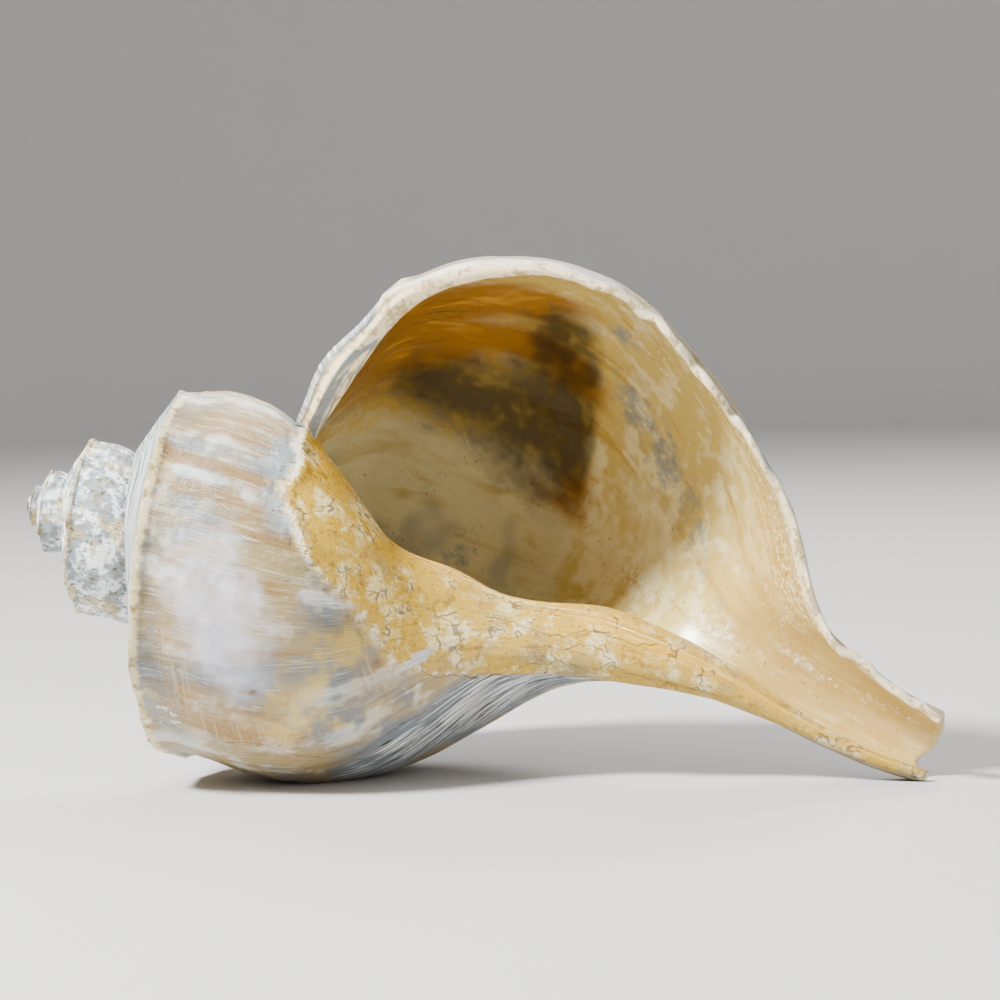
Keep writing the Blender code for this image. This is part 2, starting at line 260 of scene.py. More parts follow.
    def side_radius(self, height: Array, turn: Array) -> Array:
        """Radius below the shoulder: the grown outline, turning into the flared one near the lip."""
        grown = self.grown(height, turn)
        share = ease((turn + self.flare_turns) / self.flare_turns)
        flared = smooth_curve(self.lip_outline, grown)
        outline = (1 - share) * smooth_curve(self.whorl_outline, grown) + share * flared
        near_shoulder = peak(grown, self.shoulder, self.knob_width)
        knob = self.knob_rise * np.cos(2 * math.pi * self.knobs_per_turn * turn) * near_shoulder
        dent = self.dent * peak(grown, self.dent_height, self.dent_width)
        dent = dent * peak(turn, self.dent_turn, self.dent_turns)
        return (outline + knob - dent) * self.size(turn)

    def whorl_radius(self, height: Array, turn: Array) -> Array:
        """Radius of a whorl: a steep ramp from the seam up to the shoulder, then its side."""
        top, seam = self.shoulder_height(turn), self.seam_height(turn)
        foot_radius = self.side_radius(seam, turn - 1)
        climb = self.side_radius(top, turn) - foot_radius
        share = np.clip((height - seam) / (top - seam), 0, 1)
        ramp = foot_radius + climb * (share + self.ramp_swell * share * (1 - share))
        return np.where(height < top, ramp, self.side_radius(np.maximum(height, top), turn))

    def outside_radius(self, height: Array, turn: Array) -> Array:
        """Radius of the smooth outside, with the column and the canal that open out of it."""
        back = np.clip(-turn, 0, self.canal_turns) / self.canal_turns
        whorl = np.maximum(self.whorl_radius(height, turn), 0.00001)
        column = smooth_curve(self.column, height)
        canal = smooth_curve(self.canal, height) * (0.5 + 0.5 * np.cos(math.pi * back))
        return (whorl**self.blend + column**self.blend + canal**self.blend) ** (1 / self.blend)

    def past_callus_edge(self, height: Array, turn: Array) -> Array:
        """Distance along the axis past the left edge of the glaze, which is ragged."""
        azimuth = self.azimuth(turn)
        ragged = 0.0012 * grain(azimuth / 14, height / 0.02, 51, 3) * fade(azimuth, 112, 15)
        return height - smooth_curve(self.callus_left, azimuth) + ragged

    def callus_thickness(self, height: Array, turn: Array) -> Array:
        """Glaze over the last whorl but one, in front of the mouth and inside it."""
        azimuth = self.azimuth(turn)
        inwards = self.past_callus_edge(height, turn)
        heap = fade(inwards, 0.004, 0.014) * (1 - fade(height, 0.092, 0.020)) * (1 - fade(azimuth, 150, 60))
        end = (1 - fade(azimuth, 235, 60)) * (1 - fade(height, 0.120, 0.040))
        deep = 0.6 + 0.4 * fade(azimuth, -60, 172)
        return (self.callus + self.callus_heap * heap) * ease(inwards / 0.0022) * end * deep

    def wall_thickness(self, height: Array, turn: Array) -> Array:
        """Thickness of the wall: less where the shell was smaller, more in the fold at the lip's ramp."""
        below = ease((height - self.shoulder_height(turn)) / self.fold_height)
        folded = ease(turn / self.fold_turns + 1) * (1 - below)
        plain = np.maximum(self.wall * self.radius_growth ** (self.wall_growth * turn), self.least_wall)
        return plain * (1 + self.fold_wall * folded)

    def moved_out(self, height: Array, turn: Array, distance: Array) -> tuple[Array, Array]:
        """The smooth outside moved square to itself.

        Args:
            height: height along the axis of each place.
            turn: its turn.
            distance: how far it moves outwards, in metres.

        Returns:
            The height and the radius of each moved place.
        """
        step = 0.00005
        rise = self.outside_radius(height + step, turn) - self.outside_radius(height - step, turn)
        slope = rise / (2 * step)
        square = np.sqrt(1 + slope**2)
        return height - distance * slope / square, self.outside_radius(height, turn) + distance / square

    def floor_radius(self, height: Array, turn: Array) -> Array:
        """Radius of the hollow's inner side: the turn before, with its glaze."""
        return self.outside_radius(height, turn - 1) + self.callus_thickness(height, turn - 1)

    def strip_heights(self, turn: Array, rows: Array, ramp_rows: int) -> Array:
        """Heights of the rows from a whorl's seam over its shoulder to the next seam.

        Args:
            turn: a column of turns.
            rows: shares from 0 at the seam to 1 at the shoulder, then on to 2 at the next seam.
            ramp_rows: how many of them lie on the ramp.

        Returns:
            One row of heights for each turn.
        """
        low, top, high = self.seam_height(turn), self.shoulder_height(turn), self.seam_height(turn + 1)
        ramp = low + (top - low) * rows[:ramp_rows]
        side = top + (high - top) * (rows[ramp_rows:] - 1)
        return np.concatenate([ramp, side], axis=-1)

    def place(self, height: Array, radius: Array, turn: Array, forwards: Array | float = 0.0) -> Array:
        """Points of the skin in the object's frame, lying as the solid does.

        Args:
            height: height along the axis, from the apex.
            radius: distance from the axis.
            turn: the turn, 0 at the lip.
            forwards: distance round the axis by which a point is ahead of its turn.

        Returns:
            The points, with x, y and z last.
        """
        tilt = math.radians(90 + self.roll)
        angle = np.radians(self.azimuth(turn) + self.roll) + forwards / np.maximum(radius, 0.004)
        bend = smooth_curve(self.bend, height)
        across = np.cos(angle) * radius + math.cos(tilt) * bend
        up = np.sin(angle) * radius + math.sin(tilt) * bend
        pitch = math.radians(self.pitch)
        x = height * math.cos(pitch) - up * math.sin(pitch)
        z = height * math.sin(pitch) + up * math.cos(pitch)
        return np.stack([x, across, z], axis=-1) + self.apex_at


@dataclass(frozen=True)
class Spot:
    """Soft patch on the skin, given where it lies and how far it reaches."""

    turn: float
    height: float
    around: float
    along: float
    strength: float = 1.0

    def at(self, coil: Coil, height: Array, turn: Array) -> Array:
        """How much of the patch shows at each place, from 0 to its strength."""
        reach = 2 * math.pi * coil.radius * coil.size(turn) * (turn - self.turn) / self.around
        return self.strength * bell(0.83 * np.hypot(reach, (height - self.height) / self.along))


def all_spots(spots: tuple[Spot, ...], coil: Coil, height: Array, turn: Array) -> Array:
    """Several patches together, which never pass 1.

    Args:
        spots: the patches.
        coil: the shell's outline.
        height: height along the axis of each place.
        turn: its turn.

    Returns:
        How much they cover each place.
    """
    bare = 1.0
    for spot in spots:
        bare = bare * (1 - np.clip(spot.at(coil, height, turn), 0, 1))
    return 1 - bare


@dataclass(frozen=True)
class Relief:
    """What stands proud of the smooth outline or is worn into it, in metres."""

    rib_rise: float = 0.00085
    wave_rise: float = 0.00035
    ribs_per_turn: float = 46
    keel_rise: float = 0.0010
    frill_rise: float = 0.00022
    frills_per_turn: float = 260
    foot_rise: float = 0.0026
    pock_depth: float = 0.00026
    grit_rise: float = 0.00020
    rim_rise: float = 0.0009
    chip_depth: float = 0.0006
    pit_depth: float = 0.0006
    chip: Spot = Spot(-0.694, 0.0955, 0.0027, 0.0024)
    pit: Spot = Spot(-0.694, 0.0667, 0.0010, 0.0007)
    # height along the axis, width and depth of each broken place in the lip's edge
    lip_bites: tuple[tuple[float, float, float], ...] = (
        (0.1262, 0.0018, 0.0011),
        (0.1300, 0.0012, 0.0007),
        (0.1395, 0.0022, 0.0008),
        (0.1490, 0.0014, 0.0010),
        (0.1530, 0.0010, 0.0005),
        (0.1610, 0.0018, 0.0005),
        (0.1712, 0.0009, 0.0011),
        (0.1760, 0.0016, 0.0006),
    )
    # how deep those places are bitten back and how far flaked away, against the depth given
    bite_share: float = 1.7
    flake_share: float = 0.9
    nick_rise: float = 0.00026
    flare_rise: float = 0.0014
    notch_azimuth: float = 18.0
    notch_width: float = 15.0
    notch_depth: float = 0.0030
    end_chips: float = 0.00035
    end_growth: float = 0.0008

    def ribs(self, coil: Coil, height: Array, turn: Array) -> tuple[Array, Array]:
        """Wavering turns that the growth lines follow, and the growth ribs, from -1 to 1."""
        grown = coil.grown(height, turn)
        phase = turn + 0.0055 * grain(grown / 0.02, turn * 5, 11, 2)
        ribs = 0.50 * grain(phase * self.ribs_per_turn, grown / 0.05, 1)
        ribs = ribs + 0.35 * grain(phase * self.ribs_per_turn * 2.1, grown / 0.02, 2)
        return phase, ribs + 0.15 * grain(phase * self.ribs_per_turn * 4.0, grown / 0.012, 3)

    def outside(self, coil: Coil, height: Array, turn: Array, worn: Array) -> Array:
        """Growth ribs, keel and wear on the outside.

        Args:
            coil: the shell's outline.
            height: height along the axis of each place.
            turn: its turn.
            worn: how much the place is worn smooth, from 0 to 1.

        Returns:
            How far each place stands out.
        """
        size, grown, arc = coil.size(turn), coil.grown(height, turn), coil.arc(turn)
        phase, ribs = self.ribs(coil, height, turn)
        below = 1 - 0.7 * fade(grown, 0.085, 0.03) + 0.7 * fade(grown, 0.135, 0.03)
        strength = np.where(grown < coil.shoulder, 0.45, below) * (1 - 0.85 * worn)
        below_keel = grown - coil.keel_height(turn)
        keel = peak(below_keel, 0.0007, 0.0019) * (0.7 + 1.1 * grain(turn * 26, 0, 5, 2))
        keel = keel - 0.35 * peak(below_keel, 0.0070, 0.0032)
        frills = np.cos(2 * math.pi * phase * self.frills_per_turn) * bell(turn / 0.022)
        frills = frills * ease((coil.shoulder - grown) / 0.002)
        frills = frills * (0.7 + 0.5 * grain(grown / 0.01, turn * 200, 8))
        eroded = grain(arc / 0.0016, height / 0.0016, 21, 3) * fade(-turn, 0.9, 0.2)
        root = np.sqrt(size)
        swollen = self.foot_rise * peak(grown, 0.0632, 0.0038) * ease(turn / 0.035 + 1)
        keel = self.keel_rise * size**0.7 * keel * (1 - 0.4 * worn)
        total = swollen + self.rib_rise * root * ribs * strength + keel
        waves = self.wave_rise * grain(arc / 0.012, height / 0.012, 24, 2) * ease((1.0 + turn) / 0.05)
        return total + self.frill_rise * frills + self.pock_depth * root * eroded + waves

    def glaze(self, coil: Coil, height: Array, turn: Array) -> Array:
        """Grit and raised edge of the glaze, and what has chipped off it."""
        inwards = coil.past_callus_edge(height, turn)
        azimuth, arc = coil.azimuth(turn), coil.arc(turn) * 2
        on = ease(inwards / 0.0015)
        fresh = fade(azimuth, 95, 30) * (1 - fade(azimuth, 225, 30)) * (1 - fade(height, 0.105, 0.03))
        grit = grain(arc / 0.0022, height / 0.0022, 31, 3) + 0.6 * grain(arc / 0.011, height / 0.011, 34)
        edge = peak(inwards, 0.0016, 0.0016) * (0.7 + 0.6 * grain(arc / 0.004, height / 0.004, 37, 2))
        edge = edge * (1 - fade(azimuth, 225, 25))
        chipped = fade(self.chip.at(coil, height, turn), 0.45, 0.12)
        grit = self.grit_rise * grit * on * (0.15 + 0.85 * fresh)
        return grit + self.rim_rise * edge - self.chip_depth * chipped

    def bite(self, height: Array, turn: Array) -> Array:
        """How far the lip's edge is broken back or grown forward at a height, fading behind the edge."""
        depth = self.nick_rise * grain(height / 0.0042, 0, 61, 4) * (1 + 3.0 * fade(height, 0.118, 0.02))
        for middle, width, bitten in self.lip_bites:
            depth = depth - self.bite_share * bitten * peak(height, middle, width)
        away_from_foot = fade(height, 0.062, 0.006)
        return depth * away_from_foot * fade(turn, -0.02, 0.02)

    def flare(self, height: Array, turn: Array) -> Array:
        """How far the last sliver of the lip is bent outwards or flaked away, for both of its faces."""
        bent = self.flare_rise * grain(height / 0.0048, 0, 63, 3)
        for middle, width, bitten in self.lip_bites:
            bent = bent - self.flake_share * bitten * peak(height, middle, width)
        shares = fade(height, 0.082, 0.010) * (0.35 + 0.65 * fade(height, 0.112, 0.012))
        return bent * shares * fade(turn, -0.011, 0.011)

    def broken_end(self, coil: Coil, height: Array, turn: Array) -> Array:
        """How far the canal's end is broken back, fading behind the end."""
        azimuth = (coil.azimuth(turn) + 180) % 360 - 180
        notch = self.notch_depth * peak(azimuth, self.notch_azimuth, self.notch_width)
        chips = self.end_chips * grain(azimuth / 9, 0, 71, 2)
        longer = self.end_growth * peak(azimuth, 75, 30)
        return (notch + chips - longer) * fade(height, 0.190, coil.length - 0.190)


class Sheet(Enum):
    """Sheets of the skin, by what they are on the shell."""

    WHORLS = "whorls"
    BASE = "base"
    WALL = "inside_wall"
    FLOOR = "inside_floor"
    RIM = "lip_rim"
    END = "canal_end"


OUTSIDE = (Sheet.WHORLS, Sheet.BASE)
LINING = (Sheet.WALL, Sheet.RIM, Sheet.END)


@dataclass(frozen=True)
class Markings:
    """Where each stain, worn place, crack and patch of painted shade lies on the skin."""

    worn: tuple[Spot, ...] = (
        Spot(-0.788, 0.0500, 0.0120, 0.0075, 0.85),
        Spot(-0.750, 0.0580, 0.0130, 0.0090),
        Spot(-0.712, 0.0640, 0.0085, 0.0075, 0.9),
        Spot(-0.666, 0.0755, 0.0040, 0.0040, 0.7),
        Spot(-0.300, 0.0900, 0.0260, 0.0200, 0.55),
        Spot(-0.480, 0.0800, 0.0200, 0.0140, 0.4),
    )
    bleached: tuple[Spot, ...] = (
        Spot(-0.905, 0.0610, 0.0110, 0.0042, 0.9),
        Spot(-0.870, 0.0640, 0.0080, 0.0045, 0.9),
        Spot(-0.945, 0.0580, 0.0090, 0.0050, 0.7),
        Spot(-0.642, 0.0460, 0.0060, 0.0060, 0.8),
        Spot(-0.560, 0.0500, 0.0300, 0.0070, 0.6),
        Spot(-0.150, 0.0900, 0.0300, 0.0100, 0.6),
    )
    rust: tuple[Spot, ...] = (
        Spot(-0.680, 0.0500, 0.0130, 0.0060, 0.9),
        Spot(-0.730, 0.0460, 0.0100, 0.0035, 0.7),
        Spot(-0.650, 0.0620, 0.0070, 0.0100, 0.9),
        Spot(-0.645, 0.0740, 0.0050, 0.0090, 0.9),
        Spot(-0.690, 0.0880, 0.0110, 0.0070, 0.8),
        Spot(-0.775, 0.0630, 0.0080, 0.0100, 0.4),
        Spot(-0.925, 0.0460, 0.0140, 0.0090, 0.5),
        Spot(-0.200, 0.1150, 0.0200, 0.0140, 0.5),
        Spot(-0.400, 0.0700, 0.0300, 0.0100, 0.5),
    )
    ochre: tuple[Spot, ...] = (
        Spot(-0.715, 0.0770, 0.0120, 0.0040, 0.9),
        Spot(-0.690, 0.0720, 0.0100, 0.0045, 0.8),
        Spot(-0.735, 0.0830, 0.0090, 0.0050, 0.9),
        Spot(-0.655, 0.0790, 0.0050, 0.0060, 0.8),
    )
    # dark patches deep in the mouth: the lip's painted shadow, partly a real dark stain
    dark_stain_and_shadow: tuple[Spot, ...] = (
        Spot(-0.180, 0.1060, 0.0130, 0.0140, 1.0),
        Spot(-0.178, 0.0880, 0.0080, 0.0160, 0.9),
        Spot(-0.170, 0.0740, 0.0080, 0.0120, 0.75),
        Spot(-0.150, 0.1055, 0.0100, 0.0090, 0.8),
        Spot(-0.117, 0.1040, 0.0075, 0.0095, 1.0),
        Spot(-0.205, 0.1020, 0.0090, 0.0110, 0.8),
        Spot(-0.196, 0.0860, 0.0090, 0.0150, 0.45),
        Spot(-0.106, 0.0790, 0.0016, 0.0080, 0.5),
        Spot(-0.560, 0.0800, 0.0500, 0.0400, 0.6),
    )
    amber: tuple[Spot, ...] = (
        Spot(-0.110, 0.0740, 0.0150, 0.0160, 1.0),
        Spot(-0.135, 0.0640, 0.0160, 0.0120, 0.9),
        Spot(-0.092, 0.0960, 0.0080, 0.0140, 0.8),
        Spot(-0.134, 0.0960, 0.0045, 0.0120, 0.9),
        Spot(-0.146, 0.1090, 0.0045, 0.0080, 0.8),
        Spot(-0.215, 0.1120, 0.0080, 0.0065, 0.7),
        Spot(-0.113, 0.1235, 0.0040, 0.0050, 0.5),
        Spot(-0.640, 0.0700, 0.0900, 0.0400, 0.8),
    )
    blue: tuple[Spot, ...] = (
        Spot(-0.090, 0.1190, 0.0050, 0.0040, 0.9),
        Spot(-0.136, 0.1225, 0.0070, 0.0050, 1.0),
        Spot(-0.143, 0.1330, 0.0080, 0.0055, 0.9),
        Spot(-0.150, 0.1420, 0.0080, 0.0045, 0.6),
        Spot(-0.285, 0.0880, 0.0060, 0.0050, 0.8),
        Spot(-0.170, 0.1500, 0.0060, 0.0060, 0.5),
    )
    frost: tuple[Spot, ...] = (
        Spot(-0.238, 0.1330, 0.0060, 0.0080, 0.75),
        Spot(-0.205, 0.1540, 0.0090, 0.0110, 0.8),
        Spot(-0.150, 0.1760, 0.0070, 0.0120, 0.8),
        Spot(-0.080, 0.1280, 0.0100, 0.0080, 0.45),
        Spot(-0.120, 0.1950, 0.0090, 0.0080, 0.7),
    )
    cream: tuple[Spot, ...] = (
        Spot(-0.245, 0.1240, 0.0140, 0.0120, 0.9),
        Spot(-0.190, 0.1330, 0.0110, 0.0120, 0.9),
        Spot(-0.120, 0.1500, 0.0140, 0.0120, 0.6),
        Spot(-0.180, 0.1980, 0.0100, 0.0100, 0.8),
    )
    # azimuth of each crack by height along the axis
    cracks: tuple[Curve, ...] = (
        (
            (0.1061, 188), (0.1130, 184), (0.1206, 193), (0.1277, 172),
            (0.1309, 163), (0.1371, 167), (0.1449, 153),
        ),
        (
            (0.1185, 225), (0.1255, 205), (0.1300, 188), (0.1328, 191),
            (0.1355, 206), (0.1423, 224), (0.1600, 228),
        ),
        (
            (0.0960, 226), (0.0986, 236), (0.1023, 241), (0.1085, 255),
            (0.1132, 260), (0.1185, 270), (0.1224, 266),
        ),
        (
            (0.0400, 243), (0.0560, 245), (0.0667, 242), (0.0768, 249),
            (0.0880, 256), (0.0925, 253), (0.1021, 256),
        ),
    )
    # distance from a drawn line past which nothing of it shows
    far_off: float = 0.02
    # how much faster the distance grows past a line's ends
    run_out: float = 60
    # how far the grains run across the lip's edge
    rim_width: float = 0.0045
    # turn of the scratch on the lining by height along the axis
    scratch: Curve = ((0.0815, -0.203), (0.0835, -0.207), (0.0842, -0.213), (0.0860, -0.219))

    def line_distance(self, away: Array, line: Curve, height: Array, fading: float) -> Array:
        """Signed distance from a drawn line, growing fast past its ends so that the line runs out.

        Args:
            away: distance from the line's course.
            line: the line, by height along the axis.
            height: height along the axis of each place.
            fading: how far past its ends the line reaches.

        Returns:
            The distance, which stops growing where nothing of the line shows.
        """
        past = ease((line[0][0] - height) / fading) + ease((height - line[-1][0]) / fading)
        return np.clip(away * (1 + self.run_out * past), -self.far_off, self.far_off)

    def layout(self, sheet: Sheet, coil: Coil, height: Array, turn: Array, across: Array) -> dict[str, Array]:
        """Where each place lies round, along and through the shell, and which finish covers it.

        Args:
            sheet: which sheet it is.
            coil: the shell's outline.
            height: height along the axis of each place.
            turn: its turn.
            across: share of the way from the outside to the inside of the wall.

        Returns:
            Channel name to its values.
        """
        grown, azimuth = coil.grown(height, turn), coil.azimuth(turn)
        inwards = coil.past_callus_edge(height, turn)
        outside, wall = sheet in OUTSIDE, sheet in LINING
        marks = {"along": height, "grown": grown, "inside": across}
        marks["around"] = turn * 2 * math.pi * coil.radius
        from_lip = -turn * 2 * math.pi * coil.outside_radius(height, turn)
        marks["lip"] = (1 - ease(from_lip / 0.0050)) * fade(turn, -0.2, 0.05) * (sheet is not Sheet.FLOOR)
        if sheet is Sheet.RIM:
            marks["lip"] = np.ones(height.shape)
            marks["around"] = across * self.rim_width
            marks["inside"] = ease(across * 2.5)
        reach = ease(inwards / 0.0015) * (1 - fade(azimuth, 262, 26))
        glazed = (turn >= -1) & outside
        marks["glaze"] = np.where(glazed, reach, float(sheet in (Sheet.BASE, Sheet.FLOOR)))
        marks["callus_rim"] = peak(inwards, 0.0011, 0.0013) * (turn >= -1) * (1 - fade(azimuth, 240, 20))
        fold = bell((azimuth - (118 + 45 * fade(height, 0.1, 0.06))) / 22) * fade(height, 0.068, 0.02)
        marks["fold"] = fold * (not wall)
        marks["ramp"] = (1 - fade(grown, 0.0702, 0.0012)) * (outside or sheet is Sheet.RIM)
        return marks

    def outside_marks(self, coil: Coil, relief: Relief, height: Array, turn: Array) -> dict[str, Array]:
        """Wear, growth, dirt and painted shade of the outside, as channel name to its values."""
        grown, azimuth = coil.grown(height, turn), coil.azimuth(turn)
        names = ("worn", "rust", "ochre")
        marks = {name: all_spots(getattr(self, name), coil, height, turn) for name in names}
        marks["streaks"] = 0.45 + 0.55 * peak(turn, -0.92, 0.07) * (1 - fade(grown, 0.135, 0.03))
        low_zone = peak(turn, -0.565, 0.055) * fade(grown, 0.105, 0.05)
        under = peak(azimuth, 280, 26) * fade(height, 0.100, 0.01) * (1 - fade(height, 0.150, 0.03))
        marks["fasciole"] = np.clip(low_zone * fade(height, 0.055, 0.03) + under, 0, 1)
        marks["chalk"] = np.maximum(fade(-turn, 0.97, 0.45), all_spots(self.bleached, coil, height, turn))
        below_keel = grown - coil.keel_height(turn)
        marks["keel"] = bell(below_keel / np.where(below_keel < 0, 0.0014, 0.0030))
        marks["chip"] = fade(relief.chip.at(coil, height, turn), 0.40, 0.14)
        # painted shade in the small pit worn into the outside
        marks["dent"] = fade(relief.pit.at(coil, height, turn), 0.2, 0.5)
        # how deep each place lies between the ribs: painted shade in the valleys and, turned over, painted
        # highlights on the crests
        marks["rib_shade_and_highlight"] = np.clip(0.5 - relief.ribs(coil, height, turn)[1], 0, 1)
        # painted shadow that the glaze's raised edge casts on the shell just outside it
        foot = peak(coil.past_callus_edge(height, turn), -0.0008, 0.0009) * (1 - fade(azimuth, 215, 25))
        marks["callus_edge_shadow"] = foot * (turn >= -1)
        return marks

    def lining_marks(self, coil: Coil, height: Array, turn: Array) -> dict[str, Array]:
        """Stains, haze and frosting of the lining, and the lip's painted shadow deep in the mouth, as channel
        name to its values.
        """
        names = ("dark_stain_and_shadow", "amber", "blue", "frost", "cream")
        marks = {name: all_spots(getattr(self, name), coil, height, turn) for name in names}
        # the painted shadow ends in a sharp edge above this height, nearer the lip
        marks["dark_stain_and_shadow"] = marks["dark_stain_and_shadow"] * (1 - fade(height, 0.1125, 0.0045) * fade(turn, -0.4, 0.1))
        murk = fade(-turn, 0.185, 0.04) * (1 - fade(-turn, 0.42, 0.1))
        marks["murk"] = murk * (1 - fade(height, 0.104, 0.02))
        from_lip = -turn * 2 * math.pi * coil.outside_radius(height, turn)
        ledge = bell((from_lip - 0.0046 - 0.0012 * grain(height / 0.012, 0, 81, 2)) / 0.0007)
        brim = 0.9 * (1 - fade(from_lip, 0.006, 0.024)) + 0.4 * ledge
        marks["brim"] = brim * fade(height, 0.085, 0.03) * (1 - fade(height, 0.168, 0.02))
        marks["canal"] = fade(height, 0.135, 0.03)
        return marks

    def channels(
        self, sheet: Sheet, coil: Coil, relief: Relief, height: Array, turn: Array, across: Array
    ) -> dict[str, Array]:
        """Every channel of MARKS on one sheet, with the same arguments as its layout and the relief."""
        outside, wall = sheet in OUTSIDE, sheet in LINING
        marks = self.layout(sheet, coil, height, turn, across)
        for name, values in self.outside_marks(coil, relief, height, turn).items():
            marks[name] = values * outside
        for name, values in self.lining_marks(coil, height, turn).items():
            marks[name] = values * wall
        nowhere = self.far_off + 0 * height
        radius = coil.outside_radius(height, turn)
        away = (turn - smooth_curve(self.scratch, height)) * 2 * math.pi * radius
        marks["scratch"] = self.line_distance(away, self.scratch, height, 0.002) if wall else nowhere
        for crack, name in zip(self.cracks, CRACKS):
            away = np.radians(coil.azimuth(turn) - smooth_curve(crack, height)) * radius
            marks[name] = self.line_distance(away, crack, height, 0.004) if outside else nowhere
        return marks


@dataclass(frozen=True)
class Hollow:
    """The hollow's turns, which of them open at the canal, and its wall and floor as points and heights."""

    turn: Array
    opened: Array
    base: Array
    wall: Array
    height: Array
    floor: Array
    floor_height: Array


@dataclass(frozen=True)
class ShellSkin:
    """The shell's fine skin: sheets wound by the outlines, welded into one closed body.

    The densities count the rows and columns of the sheets. The outside has a fine band of columns behind the
    lip, which every earlier whorl repeats so that each seam can be welded one to one.
    """

    coil: Coil
    relief: Relief
    markings: Markings
    columns_per_turn: int = 200
    lip_columns: int = 40
    lip_band: float = 0.03
    ramp_rows: int = 12
    side_rows: int = 20
    foot_rows: int = 6
    base_rows: int = 58
    rim_rows: int = 18
    end_rows: int = 4
    lining_rounds: int = 26
    side_crowding: float = 1.25
    floor_crowding: float = 1.1
    lip_layers: float = 4.0
    layer_rise: float = 0.05
    # how far the lip's edge stands out, how much less it does on the ramp, and how far the canal's end does
    lip_bulge: float = 0.45
    ramp_flatness: float = 0.15
    end_bulge: float = 0.3
    # gaps where the ramp is clear of the turn before, and where the wall closes on the column
    clear_gap: float = 0.00002
    shut_gap: float = 0.0009
    # how far down the hollow the outside's next seam may lie at most
    seam_share: float = 0.62
    foot_samples: int = 500
    end_samples: int = 1600
    weld: float = 0.000001
    sharpest: float = 60
    open_turns: float = 0.70
    hollow_turns: float = 2.2
    deep_columns_per_turn: int = 40

    def turns(self) -> tuple[Array, int]:
        """Turns of the outside's columns, and how many make one turn."""
        coarse = np.linspace(-1, -self.lip_band, self.columns_per_turn, endpoint=False)
        fine = np.linspace(-self.lip_band, 0, self.lip_columns, endpoint=False)
        phases = np.concatenate([coarse, fine])
        whole = math.ceil(self.coil.turns)
        turns = np.concatenate([*(phases - k for k in range(whole - 1, -1, -1)), [0.0]])
        return turns[turns > -self.coil.turns - 1e-9][:, None], len(phases)

    def ended(self, heights: Array, moved: Array, turn: Array) -> Array:
        """Moved heights with the canal's end kept level and then broken back."""
        level = np.where(heights >= self.coil.length - 1e-9, heights, moved)
        return level - self.relief.broken_end(self.coil, heights, turn)

    def outside_points(self, heights: Array, turn: Array) -> Array:
        """Places of the outside, with its ribs, its glaze and its broken edges."""
        coil, relief = self.coil, self.relief
        last = np.maximum(turn, -1)
        cover = np.where(turn >= -1, ease(coil.past_callus_edge(heights, last) / 0.002), 0)
        worn = all_spots(self.markings.worn, coil, heights, turn)
        bare = relief.outside(coil, heights, turn, worn) * (1 - cover)
        glazed = coil.callus_thickness(heights, last) + relief.glaze(coil, heights, last)
        rise = bare + np.where(turn >= -1, glazed, 0)
        pit = relief.pit.at(coil, heights, turn)
        height, radius = coil.moved_out(heights, turn, rise - relief.pit_depth * pit)
        radius = radius + relief.flare(heights, turn)
        return coil.place(self.ended(heights, height, turn), radius, turn, relief.bite(heights, turn))

    def floor_points(self, heights: Array, turn: Array) -> Array:
        """Places of the glazed turn before, which is the hollow's floor."""
        coil, before = self.coil, turn - 1
        rise = coil.callus_thickness(heights, before) + self.relief.glaze(coil, heights, before)
        height, radius = coil.moved_out(heights, before, rise)
        return coil.place(self.ended(heights, height, before), radius, before)

    def hollow_rows(self, turn: Array, strip_rows: Array) -> dict[str, Array]:
        """Rows of the hollow: its foot, its end, and the heights between, matched to the outside's rows.

        Args:
            turn: a column of turns.
            strip_rows: rows of the outside's strip, from 0 to 2.

        Returns:
            Heights of the outer wall, shares of the base and of the floor, and which turns open at the canal.
        """
        coil = self.coil
        top, seam = coil.shoulder_height(turn), coil.seam_height(turn)
        # where the ramp's inner face leaves the turn before
        ramp = seam + (top - seam) * np.linspace(0, 0.9, self.foot_samples)
        height, radius = coil.moved_out(ramp, turn, -coil.wall_thickness(ramp, turn))
        clear = np.argmax(radius - coil.floor_radius(height, turn) > self.clear_gap, axis=1)[:, None]
        foot = np.take_along_axis(ramp, clear, axis=1)

        # where the wall closes on the column, or the canal's end where it stays open
        side = top + (coil.length - top) * np.linspace(0.1, 1, self.end_samples)
        height, radius = coil.moved_out(side, turn, -coil.wall_thickness(side, turn))
        shut = radius - coil.floor_radius(height, turn) < self.shut_gap
        opened = ~shut.any(axis=1)
        ending = np.where(opened, coil.length, side[np.arange(len(side)), np.argmax(shut, axis=1)])[:, None]

        corner = coil.moved_out(foot, turn, -coil.wall_thickness(foot, turn))[0]
        lip_seam = coil.seam_height(np.zeros(1))[0]
        foot_share = (corner[-1, 0] - lip_seam) / (coil.length - lip_seam)
        floor_rows = np.linspace(0, 1, self.base_rows + 1) ** self.floor_crowding
        foot_rows = np.linspace(0, foot_share, self.foot_rows + 1)[:-1]
        base_rows = np.concatenate([foot_rows, foot_share + (1 - foot_share) * floor_rows])
        rows = coil.strip_heights(turn, strip_rows, self.ramp_rows)
        rows = (rows - rows[:, :1]) / (rows[:, -1:] - rows[:, :1])
        middle = np.minimum(coil.seam_height(turn + 1), foot + self.seam_share * (ending - foot))
        upper = foot + (middle - foot) * rows
        lower = middle + (ending - middle) * base_rows[1:]
        return {
            "heights": np.concatenate([upper, lower], axis=1),
            "base": base_rows,
            "floor": floor_rows,
            "opened": opened,
        }

